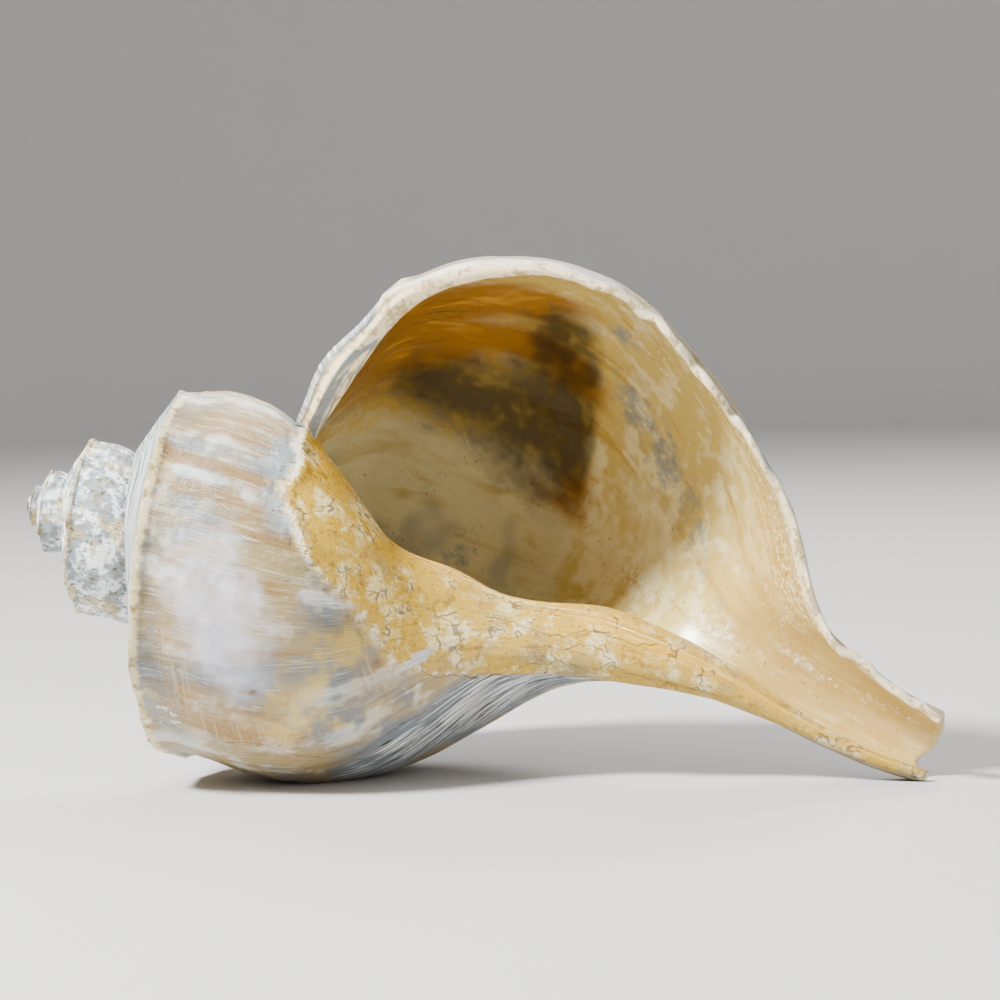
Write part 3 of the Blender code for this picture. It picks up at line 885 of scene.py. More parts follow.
    def add_sheet(self, sheet: Sheet, points: Array, heights: Array, turn: Array, across: Array) -> Piece:
        """Adds one sheet as a grid primitive and wraps it into its place.

        No tool winds a growing spiral, so the grid's vertices are moved to where the outline puts them.

        Args:
            sheet: which sheet it is.
            points: its points, in rows and columns.
            heights: height along the axis of each point.
            turn: its turn.
            across: share of the way through the wall.

        Returns:
            The sheet's object.
        """
        rows, columns = points.shape[:2]
        counts = {"x_subdivisions": rows - 1, "y_subdivisions": columns - 1}
        bpy.ops.mesh.primitive_grid_add(**counts, size=1, calc_uvs=False)
        made = bpy.context.object
        made.name = sheet.value
        mesh = made.data
        flat = np.empty(len(mesh.vertices) * 3, np.float32)
        mesh.vertices.foreach_get("co", flat)
        flat = flat.reshape(-1, 3)
        row = np.rint((flat[:, 0] - flat[:, 0].min()) / np.ptp(flat[:, 0]) * (rows - 1)).astype(int)
        column = np.rint((flat[:, 1] - flat[:, 1].min()) / np.ptp(flat[:, 1]) * (columns - 1)).astype(int)
        mesh.vertices.foreach_set("co", points[row, column].astype(np.float32).ravel())
        corner = np.empty(len(mesh.loops), np.int32)
        mesh.loops.foreach_get("vertex_index", corner)
        heights, turn, across = np.broadcast_arrays(heights, turn, across)
        channels = self.markings.channels(sheet, self.coil, self.relief, heights, turn, across)
        for name, parts in MARKS.items():
            values = np.stack([np.broadcast_to(channels[part], heights.shape) for part in parts], axis=-1)
            held = mesh.attributes.new(name, "FLOAT_VECTOR", "CORNER")
            held.data.foreach_set("vector", values[row[corner], column[corner]].astype(np.float32).ravel())
        mesh.update()
        return made

    def hollow(self, turn: Array, strip_rows: Array) -> Hollow:
        """Computes the hollow, joined at its foot and where its wall closes on the column.

        It has the outside's columns where it is open at the canal, and fewer deep inside.

        Args:
            turn: the outside's column of turns.
            strip_rows: rows of the outside's strip, from 0 to 2.

        Returns:
            The hollow.
        """
        coil = self.coil
        near = turn[turn[:, 0] > -self.open_turns]
        deep = np.arange(-self.hollow_turns, near[0, 0] - 0.01, 1 / self.deep_columns_per_turn)[:, None]
        turn = np.concatenate([deep, near])
        rows = self.hollow_rows(turn, strip_rows)
        opened = rows["opened"]
        thickness = coil.wall_thickness(rows["heights"], turn)
        height, radius = coil.moved_out(rows["heights"], turn, -thickness)
        height, radius = self.settled(height), self.settled(radius)
        height[:, -1] = np.where(opened, coil.length, height[:, -1])
        inner = coil.floor_radius(height, turn)
        gap = np.maximum(radius - inner, 0)
        from_end = np.clip((height[:, -1:] - height) / (2 * thickness), 0, 1)
        gap = np.where(opened[:, None], gap, gap * np.sqrt(1 - (1 - from_end) ** 2))
        gap[:, 0] = 0
        shifted = height - self.relief.broken_end(coil, height, turn)
        radius = inner + gap + self.relief.flare(height, turn)
        wall = coil.place(shifted, radius, turn, self.relief.bite(height, turn))

        floor_height = height[:, :1] + (height[:, -1:] - height[:, :1]) * rows["floor"]
        floor = self.floor_points(floor_height, turn)
        floor[:, 0] = wall[:, 0]
        floor[~opened, -1] = wall[~opened, -1]
        return Hollow(turn, opened, rows["base"], wall, height, floor, floor_height)

    def lip_edge(self, outer: Array, inner: Array, height: Array, across: Array) -> Array:
        """The lip's rounded edge, with the layers of its growth on the ramp.

        Args:
            outer: points of the outside's edge.
            inner: points of the inside's edge.
            height: height along the axis of each point.
            across: share of the way from outside to inside of each row.

        Returns:
            Its rows of points.
        """
        on_ramp = 1 - fade(height, self.coil.shoulder, 0.008)
        layers = self.layer_rise * on_ramp * np.cos(2 * math.pi * self.lip_layers * across)
        bulge = self.lip_bulge - self.ramp_flatness * on_ramp + layers
        return self.rounded(outer, inner, self.rim_rows, self.ahead(), bulge)

    def sheets(self) -> list[Piece]:
        """Computes and adds every sheet, with their shared edges at equal places."""
        coil = self.coil
        turn, per_turn = self.turns()
        ramp = 0.5 - 0.5 * np.cos(np.linspace(0, math.pi, self.ramp_rows, endpoint=False))
        ramp = 0.5 * ramp + 0.5 * np.linspace(0, 1, self.ramp_rows, endpoint=False)
        side = 1 + np.linspace(0, 1, self.side_rows + 1) ** self.side_crowding
        strip_rows = np.concatenate([ramp, side])
        strip_height = coil.strip_heights(turn, strip_rows, self.ramp_rows)
        strip = self.outside_points(strip_height, turn)
        strip[per_turn:, 0] = strip[:-per_turn, -1]
        hollow = self.hollow(turn, strip_rows)

        base_turn = turn[-1 - per_turn :]
        base_top = coil.seam_height(base_turn + 1)
        base_height = base_top + (coil.length - base_top) * hollow.base
        base = self.outside_points(base_height, base_turn)
        base[:, 0] = strip[-1 - per_turn :, -1]
        base[0, self.foot_rows :] = hollow.floor[-1]

        rim_height = np.concatenate([strip_height[-1], base_height[-1, 1:]])
        rim_across = np.linspace(0, 1, self.rim_rows + 2)[:, None]
        outer = np.concatenate([strip[-1], base[-1, 1:]])
        rim = self.lip_edge(outer, hollow.wall[-1], rim_height, rim_across)
        for i in range(1, self.rim_rows + 1):
            rim[i, 0] = base[0, min(i, self.foot_rows)]

        first = int(np.argmax(hollow.opened))
        count = len(hollow.turn) - first
        downwards = np.array([math.cos(math.radians(coil.pitch)), 0, math.sin(math.radians(coil.pitch))])
        bulge = np.full((self.end_rows + 2, 1), self.end_bulge)
        end = self.rounded(base[-count:, -1], hollow.wall[first:, -1], self.end_rows, downwards, bulge)
        end_across = np.linspace(0, 1, self.end_rows + 2)[:, None]
        log.info("canal opens %.3f turns behind the lip", -hollow.turn[first, 0])
        deep = fade(-hollow.turn, 0.12, 0.2)
        return [
            self.add_sheet(Sheet.WHORLS, strip, strip_height, turn, 0.0),
            self.add_sheet(Sheet.BASE, base, base_height, base_turn, 0.0),
            self.add_sheet(Sheet.WALL, hollow.wall, hollow.height, hollow.turn, 1.0),
            self.add_sheet(Sheet.FLOOR, hollow.floor, hollow.floor_height, hollow.turn - 1, deep),
            self.add_sheet(Sheet.RIM, rim, rim_height[None, :], 0.0, rim_across),
            self.add_sheet(Sheet.END, end, coil.length, hollow.turn[first:].T, end_across),
        ]

    def settled(self, values: Array) -> Array:
        """Evens out the inside's rows, so that layers of lining round off the corner under the shoulder."""
        evened = values.copy()
        for _ in range(self.lining_rounds):
            evened[:, 1:-1] = 0.5 * evened[:, 1:-1] + 0.25 * (evened[:, :-2] + evened[:, 2:])
        rows = np.arange(values.shape[1])
        share = 1 - ease((rows - self.ramp_rows - 6) / 10)
        return values + (evened - values) * share

    def ahead(self) -> Array:
        """Direction in which the lip grows, square to its edge."""
        angle = math.radians(self.coil.lip_azimuth + self.coil.roll)
        pitch = math.radians(self.coil.pitch)
        up = math.cos(angle)
        return np.array([-up * math.sin(pitch), -math.sin(angle), up * math.cos(pitch)])

    @staticmethod
    def rounded(outer: Array, inner: Array, rows: int, ahead: Array, bulge: Array) -> Array:
        """Rounded edge between two lines of points.

        Args:
            outer: points of the outside's edge.
            inner: points of the inside's edge.
            rows: how many rows lie between.
            ahead: direction in which the edge stands out.
            bulge: how far each row stands out at each point, against the edge's thickness.

        Returns:
            The rows, from the outer line to the inner one.
        """
        thickness = np.linalg.norm(outer - inner, axis=1)[:, None]
        made = [outer]
        for i in range(1, rows + 1):
            turned = math.pi * i / (rows + 1)
            share = 0.5 - 0.5 * math.cos(turned)
            out = bulge[i][:, None] * math.sin(turned) * thickness * ahead
            made.append(outer + (inner - outer) * share + out)
        return np.stack([*made, inner])

    def build(self) -> Piece:
        """Welds the sheets, closes the ends and cuts the worn flats that the shell rests on."""
        bpy.ops.object.select_all(action="DESELECT")
        sheets = self.sheets()
        for sheet in sheets:
            sheet.select_set(True)
        bpy.context.view_layer.objects.active = sheets[0]
        bpy.ops.object.join()
        skin = bpy.context.object
        skin.name = skin.data.name = "whelk_shell_skin"
        bpy.ops.object.mode_set(mode="EDIT")
        bpy.ops.mesh.select_mode(type="VERT")
        bpy.ops.mesh.select_all(action="SELECT")
        bpy.ops.mesh.remove_doubles(threshold=self.weld)
        bpy.ops.mesh.fill_holes(sides=0)
        bpy.ops.mesh.select_all(action="SELECT")
        bpy.ops.mesh.normals_make_consistent(inside=False)
        flat = {"plane_co": (0, 0, 0), "plane_no": (0, 0, -1), "use_fill": True, "clear_outer": True}
        bpy.ops.mesh.bisect(**flat, threshold=self.weld)
        bpy.ops.mesh.select_all(action="SELECT")
        bpy.ops.mesh.quads_convert_to_tris(quad_method="SHORTEST_DIAGONAL", ngon_method="BEAUTY")
        bpy.ops.mesh.normals_make_consistent(inside=False)
        bpy.ops.object.mode_set(mode="OBJECT")
        bpy.ops.object.shade_smooth_by_angle(angle=math.radians(self.sharpest))
        log.info("the skin has %d triangles", len(skin.data.polygons))
        return skin


def linear(colour: str) -> tuple[float, float, float, float]:
    """Turns an sRGB hex colour into the linear values that the shader takes.

    Args:
        colour: six hex digits after a hash.

    Returns:
        Red, green, blue and alpha.
    """
    parts = [int(colour[i : i + 2], 16) / 255 for i in (1, 3, 5)]
    red, green, blue = (c / 12.92 if c <= 0.04045 else ((c + 0.055) / 1.055) ** 2.4 for c in parts)
    return red, green, blue, 1.0


def add_node(tree: Tree, kind: str, settings: dict, inputs: dict) -> bpy.types.Node:
    """Adds a node with its settings and its links.

    Args:
        tree: the node tree.
        kind: the node's type.
        settings: property name to value.
        inputs: socket name or number to a value, or to the socket that feeds it.

    Returns:
        The node.
    """
    node = tree.nodes.new(kind)
    for name, value in settings.items():
        setattr(node, name, value)
    for socket, value in inputs.items():
        if isinstance(value, Socket):
            tree.links.new(value, node.inputs[socket])
        else:
            node.inputs[socket].default_value = value
    return node


class Space(Enum):
    """What a grain's pattern is laid out on."""

    OBJECT = "object"
    COIL = "coil"


@dataclass(frozen=True)
class Grain:
    """Noise pattern with the real size of its grains, in millimetres along each axis of its space.

    On the coil the axes are the way round, the height along the axis and the height grown to the last whorl.
    """

    space: Space
    size: tuple[float, float, float]
    detail: float = 2.0
    roughness: float = 0.5
    distortion: float = 0.0
    cells: bool = False


@dataclass(frozen=True)
class Layer:
    """Colour and roughness laid over what is below, where a mark broken up by a grain passes a threshold.

    The grain swings the mark up and down, and the cover grows from the low threshold to the high one.
    """

    colour: str
    mark: str | None = None
    grain: str | None = None
    swing: float = 1.0
    low: float = 0.0
    high: float = 1.0
    strength: float = 1.0
    rough: float | None = None


@dataclass(frozen=True)
class Ridge:
    """Fine relief: a grain that stands out by some millimetres, for the material with this lowest stack."""

    grain: str
    height: float
    stack: str


@dataclass(frozen=True)
class OldShell:
    """Weathered aragonite shell: bleached and chalky outside, ochre glaze, and a satin amber lining."""

    grains: tuple[tuple[str, Grain], ...] = (
        ("growth_broad", Grain(Space.COIL, (7, 40, 1000), 1, 0.6)),
        ("growth_fine", Grain(Space.COIL, (1.7, 12, 1000), 2, 0.7, 1.3)),
        ("growth_hair", Grain(Space.COIL, (0.7, 9, 1000), 1, 0.6)),
        ("threads", Grain(Space.COIL, (30, 1000, 0.95), 1, 0.5)),
        ("ramp_threads", Grain(Space.COIL, (90, 1000, 0.42), 1, 0.6)),
        ("bands", Grain(Space.COIL, (10, 60, 1000), 2, 0.5, 0.6)),
        ("brim_lines", Grain(Space.COIL, (1.1, 22, 1000), 2, 0.7, 0.5)),
        ("wisps", Grain(Space.COIL, (9, 26, 1000), 2, 0.75, 0.9)),
        ("blotch", Grain(Space.OBJECT, (20, 20, 20), 2, 0.7)),
        ("cloud", Grain(Space.OBJECT, (8, 8, 8), 2, 0.75)),
        ("mottle", Grain(Space.OBJECT, (3.2, 3.2, 3.2), 2, 0.75)),
        ("fleck", Grain(Space.OBJECT, (1.2, 1.2, 1.2), 2, 0.75)),
        ("crackle", Grain(Space.OBJECT, (5.0, 5.0, 5.0), cells=True)),
    )
    # each layer: colour, mark, grain, swing, low and high threshold, strength and roughness, the lowest first
    outside: tuple[Layer, ...] = (
        Layer("#A59062", rough=0.46),
        Layer("#677988", None, "blotch", 1.0, 0.45, 0.64, 0.75),
        Layer("#D6CAAA", None, "cloud", 1.0, 0.49, 0.64, 0.6),
        Layer("#8F6827", "streaks", "growth_broad", 3.0, 0.55, 1.15, 0.7),
        # painted shade in the rib valleys
        Layer("#6E5A30", "rib_shade_and_highlight", "cloud", 1.2, 0.55, 1.0, 0.6, 0.6),
        # painted highlights on the rib crests
        Layer("#EDF4F4", "rib_shade_and_highlight", "cloud", -1.2, 0.38, 0.00, 0.45, 0.3),
        Layer("#E9F0EF", None, "growth_fine", 1.0, 0.55, 0.72, 0.4, 0.36),
        Layer("#46391F", None, "growth_hair", 1.0, 0.56, 0.74, 0.45),
        Layer("#748490", "ramp", "cloud", 0.8, 0.3, 0.9, 0.7, 0.6),
        Layer("#EEF5F6", "ramp", "ramp_threads", 2.0, 1.0, 1.2, 0.8),
        Layer("#3B3833", "ramp", "ramp_threads", -2.0, 1.05, 1.25, 0.75),
        Layer("#8B9EA8", "chalk", "cloud", 1.6, 0.5, 0.95, 0.8, 0.65),
        Layer("#D8C48C", "chalk", "cloud", -2.6, 1.0, 1.3, 0.75, 0.6),
        Layer("#F5FAFA", "chalk", "mottle", 2.2, 0.96, 1.20, 0.9, 0.7),
        Layer("#8A774A", "chalk", "mottle", -2.4, 1.08, 1.40, 0.6, 0.7),
        Layer("#24211D", "chalk", "fleck", -2.4, 1.16, 1.40, 0.75, 0.8),
        Layer("#D0D6EC", "worn", "cloud", 1.2, 0.30, 1.2, 0.65, 0.2),
        Layer("#B08C46", "rust", "cloud", 1.2, 0.35, 1.1, 0.55),
        Layer("#7E5312", "rust", "fleck", 2.4, 0.85, 1.35, 0.7),
        Layer("#F0E6CC", "rust", "threads", 2.4, 0.95, 1.30, 0.25),
        Layer("#D6B64C", "ochre", "cloud", 2.0, 0.40, 1.1, 0.7, 0.40),
        Layer("#6A7883", "fasciole", "growth_fine", 1.2, 0.3, 0.7, 0.9, 0.6),
        Layer("#FAFAF6", "fasciole", "growth_hair", 2.4, 0.94, 1.12, 0.9),
        Layer("#1A1714", "fasciole", "growth_fine", -2.6, 1.04, 1.24, 0.9),
        # painted shadow just outside the glaze's raised edge
        Layer("#4A3D2A", "callus_edge_shadow", "mottle", 1.8, 0.45, 1.1, 0.6, 0.8),
        # painted shade in the small pit
        Layer("#6B4A1C", "dent", None, 1.0, 0.3, 0.9, 0.7, 0.8),
        Layer("#EEDDA6", "keel", "mottle", 1.6, 0.35, 1.0, 0.75, 0.40),
        Layer("#916722", "keel", "mottle", -2.4, 0.92, 1.25, 0.7),
    )
    glaze: tuple[Layer, ...] = (
        Layer("#D6AC2C", rough=0.38),
        Layer("#F6E192", None, "cloud", 1.0, 0.47, 0.61, 0.8),
        Layer("#9A701A", None, "mottle", 1.0, 0.55, 0.68, 0.65),
        Layer("#8D8A76", None, "blotch", -1.0, 0.54, 0.68, 0.5),
        Layer("#FFFBE8", "cloud", "fleck", 1.4, 0.60, 0.80, 0.55, 0.5),
        Layer("#5C3B0C", None, "fleck", -1.0, 0.57, 0.70, 0.5),
        Layer("#EDB62A", "fold", "cloud", 1.2, 0.25, 0.9, 0.85, 0.24),
        Layer("#FFF2B4", "fold", "wisps", -2.4, 0.88, 1.20, 0.75),
        Layer("#A0700F", "fold", "growth_broad", 2.4, 0.98, 1.30, 0.6),
        Layer("#3F2708", "cloud", "crackle", -3.0, 1.93, 2.05, 0.7),
        Layer("#F8F1DE", "callus_rim", "fleck", 2.0, 0.5, 1.0, 0.85, 0.5),
        Layer("#D2D6DA", "chip", "fleck", 2.0, 0.35, 0.8, 0.95, 0.5),
    )
    inside: tuple[Layer, ...] = (
        Layer("#D0B564", rough=0.26),
        Layer("#F0E3AC", None, "cloud", 1.0, 0.46, 0.62, 0.7),
        Layer("#AC8222", None, "wisps", 1.0, 0.53, 0.70, 0.6),
        Layer("#D6CFA2", "murk", "cloud", 1.2, 0.10, 0.8, 0.85, 0.2),
        Layer("#868F8A", "murk", "blotch", 2.4, 0.98, 1.40, 0.6),
        Layer("#A58438", "murk", "wisps", -2.0, 0.85, 1.50, 0.55),
        Layer("#935F08", "amber", "bands", 1.0, 0.15, 0.8, 0.92, 0.24),
        Layer("#DDA02C", "amber", "wisps", 2.4, 0.95, 1.3, 0.6),
        Layer("#4A2F05", "amber", "brim_lines", -2.4, 1.08, 1.4, 0.6),
        # the lip's painted shadow deep in the mouth, partly a real dark stain
        Layer("#1E1302", "dark_stain_and_shadow", "cloud", 1.1, 0.12, 1.05, 0.9, 0.45),
        Layer("#F3E5AE", "cream", "cloud", 1.2, 0.3, 1.0, 0.7),
        Layer("#74848E", "blue", "mottle", 2.0, 0.35, 1.1, 0.75),
        Layer("#BA9850", "canal", "wisps", 1.6, 0.3, 1.1, 0.8, 0.32),
        Layer("#9C751E", "brim", "brim_lines", 2.2, 0.70, 1.10, 0.8),
        Layer("#F6E3AE", "brim", "fleck", 2.2, 0.85, 1.2, 0.7, 0.5),
        Layer("#86601E", "brim", None, 1.0, 1.0, 1.25, 0.6),
        Layer("#FBF6EA", "frost", "fleck", 2.4, 0.60, 1.2, 0.75, 0.5),
        Layer("#4B3010", None, "fleck", -1.0, 0.64, 0.74, 0.55),
        Layer("#F0DFB4", "lip", "fleck", 1.6, 0.35, 0.9, 0.95, 0.5),
        Layer("#9C7C36", "lip", "mottle", -2.6, 0.98, 1.30, 0.7),
        Layer("#66737F", "ramp", "growth_fine", 2.6, 1.00, 1.22, 0.85),
    )
    ridges: tuple[Ridge, ...] = (
        Ridge("growth_fine", 0.55, "outside"),
        Ridge("fleck", 0.34, "outside"),
        Ridge("fleck", 0.34, "inside"),
    )
    materials: tuple[tuple[str, tuple[str, ...]], ...] = (
        # the ragged borders where chalky outside, waxy ochre glaze and satin lining meet
        ("weathered_aragonite_shell", ("outside", "glaze", "inside")),
        # a dull, bleached and streaked surface whose ribs and flecks catch the light, with painted shade and
        # highlights on the ribs
        ("bleached_aragonite_outside", ("outside",)),
        # a warm, stained and smooth lining with long soft highlights down the mouth, and the lip's painted
        # shadow deep inside
        ("satin_aragonite_lining", ("inside",)),
    )
    crack_colour: str = "#4A3010"
    crack_strength: float = 0.8
    scratch_colour: str = "#D9CBA6"
    # half width of a hairline and how far it wanders, in metres
    line_width: float = 0.00018
    line_wander: float = 0.0030
    ior: float = 1.53
    bump_strength: float = 0.8
    # share of the fine relief that smooth places keep, and how much of it the lip's frosted brim gets back
    smooth_relief: float = 0.12
    brim_relief: float = 0.8

    def dress(self, piece: Piece) -> None:
        """Gives a piece its materials: faces far from any border take the outside's or the lining's alone."""
        piece.data.materials.clear()
        for name, stacks in self.materials:
            piece.data.materials.append(self.material(name, stacks))
        cover = np.empty(len(piece.data.loops) * 3, np.float32)
        piece.data.attributes["cover"].data.foreach_get("vector", cover)
        starts = np.empty(len(piece.data.polygons), np.int32)
        piece.data.polygons.foreach_get("loop_start", starts)
        most = np.maximum.reduceat(cover.reshape(-1, 3), starts)
        least = np.minimum.reduceat(cover.reshape(-1, 3), starts)
        slot = np.where((most[:, 0] <= 0) & (most[:, 1] <= 0), 1, np.where(least[:, 0] >= 1, 2, 0))
        piece.data.polygons.foreach_set("material_index", slot.astype(np.int32))
        log.info("faces of each material: %s", np.bincount(slot).tolist())

    def material(self, name: str, stacks: tuple[str, ...]) -> bpy.types.Material:
        """Makes one material.

        Args:
            name: its name.
            stacks: the stacks of layers that it shows, the lowest first.

        Returns:
            The material.
        """
        material = bpy.data.materials.new(name)
        material.use_nodes = True
        tree = material.node_tree
        channels = self.read_marks(tree)
        patterns = self.read_grains(tree, stacks, channels)
        colour, rough = self.stack(tree, getattr(self, stacks[0]), channels, patterns)
        for above in stacks[1:]:
            laid = self.stack(tree, getattr(self, above), channels, patterns)
            colour, rough = self.blend(tree, (colour, rough), laid, channels[above])
        if "outside" in stacks:
            colour = self.draw_cracks(tree, colour, channels, patterns)
        if "inside" in stacks:
            scratch = self.line(tree, channels["scratch"], patterns["mottle"])
            pale = {0: scratch, 6: colour, 7: linear(self.scratch_colour)}
            colour = add_node(tree, "ShaderNodeMix", {"data_type": "RGBA"}, pale).outputs[2]
        shader = tree.nodes["Principled BSDF"]
        tree.links.new(colour, shader.inputs["Base Color"])
        tree.links.new(rough, shader.inputs["Roughness"])
        tree.links.new(self.bump(tree, stacks[0], channels, patterns), shader.inputs["Normal"])
        shader.inputs["IOR"].default_value = self.ior
        return material

    def read_marks(self, tree: Tree) -> Sockets:
        """Reads the corner attributes, and returns channel name to socket."""
        channels = {}
        for name, parts in MARKS.items():
            held = add_node(tree, "ShaderNodeAttribute", {"attribute_name": name}, {})
            split = add_node(tree, "ShaderNodeSeparateXYZ", {}, {0: held.outputs["Vector"]})
            channels[name] = held.outputs["Vector"]
            for part, socket in zip(parts, split.outputs):
                channels[part] = socket
        return channels

    def read_grains(self, tree: Tree, stacks: tuple[str, ...], channels: Sockets) -> Sockets:
        """Makes the noise of each grain that the stacks and the bump use, and returns each grain's socket."""
        used = {ridge.grain for ridge in self.ridges if ridge.stack == stacks[0]} | {"mottle"}
        used |= {layer.mark for name in stacks for layer in getattr(self, name)}
        used |= {layer.grain for name in stacks for layer in getattr(self, name)}
        coordinates = add_node(tree, "ShaderNodeTexCoord", {}, {})
        start = {Space.OBJECT: coordinates.outputs["Object"], Space.COIL: channels["coil"]}
        patterns = {}
        for name, kind in self.grains:
            if name not in used:
                continue
            placed = {"Vector": start[kind.space], "Scale": tuple(1000 / size for size in kind.size)}
            mapped = add_node(tree, "ShaderNodeMapping", {}, placed).outputs[0]
            if kind.cells:
                patterns[name] = self.cell_edges(tree, mapped)
                continue
            look = {"Detail": kind.detail, "Roughness": kind.roughness, "Distortion": kind.distortion}
            noise = add_node(tree, "ShaderNodeTexNoise", {}, {"Vector": mapped, "Scale": 1.0, **look})
            patterns[name] = noise.outputs[0]
        return patterns

    def cell_edges(self, tree: Tree, vector: Socket) -> Socket:
        """Distance to the edges of crooked cells, as in a crackled glaze."""
        warp = add_node(tree, "ShaderNodeTexNoise", {}, {"Vector": vector, "Scale": 1.6, "Detail": 1.0})
        moved = {0: warp.outputs["Color"], 1: (1.1, 1.1, 1.1), 2: vector}
        bent = add_node(tree, "ShaderNodeVectorMath", {"operation": "MULTIPLY_ADD"}, moved)
        cells = {"Vector": bent.outputs[0], "Scale": 1.0}
        edges = add_node(tree, "ShaderNodeTexVoronoi", {"feature": "DISTANCE_TO_EDGE"}, cells)
        return edges.outputs["Distance"]

    def stack(self, tree: Tree, layers: tuple[Layer, ...], channels: Sockets, patterns: Sockets) -> Finish:
        """Lays the layers over each other.

        A mix node takes its share at socket 0, numbers at 2 and 3, and colours at 6 and 7, mixed at 2.

        Args:
            tree: the node tree.
            layers: the layers, the lowest first.
            channels: channel name to socket.
            patterns: grain name to socket.

        Returns:
            The colour's socket and the roughness's socket.
        """
        ground = add_node(tree, "ShaderNodeRGB", {}, {})
        ground.outputs[0].default_value = linear(layers[0].colour)
        dull = add_node(tree, "ShaderNodeValue", {}, {})
        dull.outputs[0].default_value = layers[0].rough
        colour, rough = ground.outputs[0], dull.outputs[0]
        for layer in layers[1:]:
            swung = {**channels, **patterns}[layer.mark] if layer.mark else 0.5
            if layer.grain:
                even = {0: patterns[layer.grain], 1: 0.5}
                centred = add_node(tree, "ShaderNodeMath", {"operation": "SUBTRACT"}, even)
                moved = {0: centred.outputs[0], 1: layer.swing, 2: swung}
                swung = add_node(tree, "ShaderNodeMath", {"operation": "MULTIPLY_ADD"}, moved).outputs[0]
            spread = {0: swung, 1: layer.low, 2: layer.high, 3: 0.0, 4: layer.strength}
            eased = {"interpolation_type": "SMOOTHSTEP"}
            cover = add_node(tree, "ShaderNodeMapRange", eased, spread).outputs[0]
            laid = {0: cover, 6: colour, 7: linear(layer.colour)}
            colour = add_node(tree, "ShaderNodeMix", {"data_type": "RGBA"}, laid).outputs[2]
            if layer.rough is not None:
                laid = {0: cover, 2: rough, 3: layer.rough}
                rough = add_node(tree, "ShaderNodeMix", {"data_type": "FLOAT"}, laid).outputs[0]
        return colour, rough

    def blend(self, tree: Tree, below: Finish, above: Finish, share: Socket) -> Finish:
        """Lays one finished stack over another by a share, and returns its colour and roughness."""
        colour = add_node(tree, "ShaderNodeMix", {"data_type": "RGBA"}, {0: share, 6: below[0], 7: above[0]})
        rough = add_node(tree, "ShaderNodeMix", {"data_type": "FLOAT"}, {0: share, 2: below[1], 3: above[1]})
        return colour.outputs[2], rough.outputs[0]

    def line(self, tree: Tree, distance: Socket, wander: Socket) -> Socket:
        """Draws a hairline where a distance, moved about by a grain, is near zero, and returns its cover."""
        moved = {0: wander, 1: self.line_wander, 2: distance}
        wandering = add_node(tree, "ShaderNodeMath", {"operation": "MULTIPLY_ADD"}, moved)
        centred = {0: wandering.outputs[0], 1: self.line_wander / 2}
        offset = add_node(tree, "ShaderNodeMath", {"operation": "SUBTRACT"}, centred)
        away = add_node(tree, "ShaderNodeMath", {"operation": "ABSOLUTE"}, {0: offset.outputs[0]})
        edge = {0: away.outputs[0], 1: 0.2 * self.line_width, 2: self.line_width, 3: 1.0, 4: 0.0}
        return add_node(tree, "ShaderNodeMapRange", {}, edge).outputs[0]

    def draw_cracks(self, tree: Tree, colour: Socket, channels: Sockets, patterns: Sockets) -> Socket:
        """Draws the hairline cracks, and returns the colour with them."""
        cover = 0.0
        for name in CRACKS:
            found = {0: cover, 1: self.line(tree, channels[name], patterns["mottle"])}
            cover = add_node(tree, "ShaderNodeMath", {"operation": "MAXIMUM"}, found).outputs[0]
        faint = {0: cover, 1: self.crack_strength}
        share = add_node(tree, "ShaderNodeMath", {"operation": "MULTIPLY"}, faint)
        drawn = {0: share.outputs[0], 6: colour, 7: linear(self.crack_colour)}
        return add_node(tree, "ShaderNodeMix", {"data_type": "RGBA"}, drawn).outputs[2]

    def bump(self, tree: Tree, stack: str, channels: Sockets, patterns: Sockets) -> Socket:
        """Fine relief that the mesh is too coarse to hold, and returns the normal."""
        polished = {0: channels["inside"], 1: channels["worn"]}
        smooth = add_node(tree, "ShaderNodeMath", {"operation": "MAXIMUM"}, polished)
        frosted = {0: channels["brim"], 1: -self.brim_relief, 2: smooth.outputs[0]}
        plain = add_node(tree, "ShaderNodeMath", {"operation": "MULTIPLY_ADD", "use_clamp": True}, frosted)
        kept = {0: plain.outputs[0], 1: 0.0, 2: 1.0, 3: 1.0, 4: self.smooth_relief}
        rough_share = add_node(tree, "ShaderNodeMapRange", {}, kept)
        total = 0.0
        for ridge in self.ridges:
            if ridge.stack != stack:
                continue
            held = {0: patterns[ridge.grain], 1: ridge.height, 2: total}
            total = add_node(tree, "ShaderNodeMath", {"operation": "MULTIPLY_ADD"}, held).outputs[0]
        rough = {0: total, 1: rough_share.outputs[0]}
        scaled = add_node(tree, "ShaderNodeMath", {"operation": "MULTIPLY"}, rough)
        relief = {"Height": scaled.outputs[0], "Distance": 0.001, "Strength": self.bump_strength}
        return add_node(tree, "ShaderNodeBump", {}, relief).outputs[0]


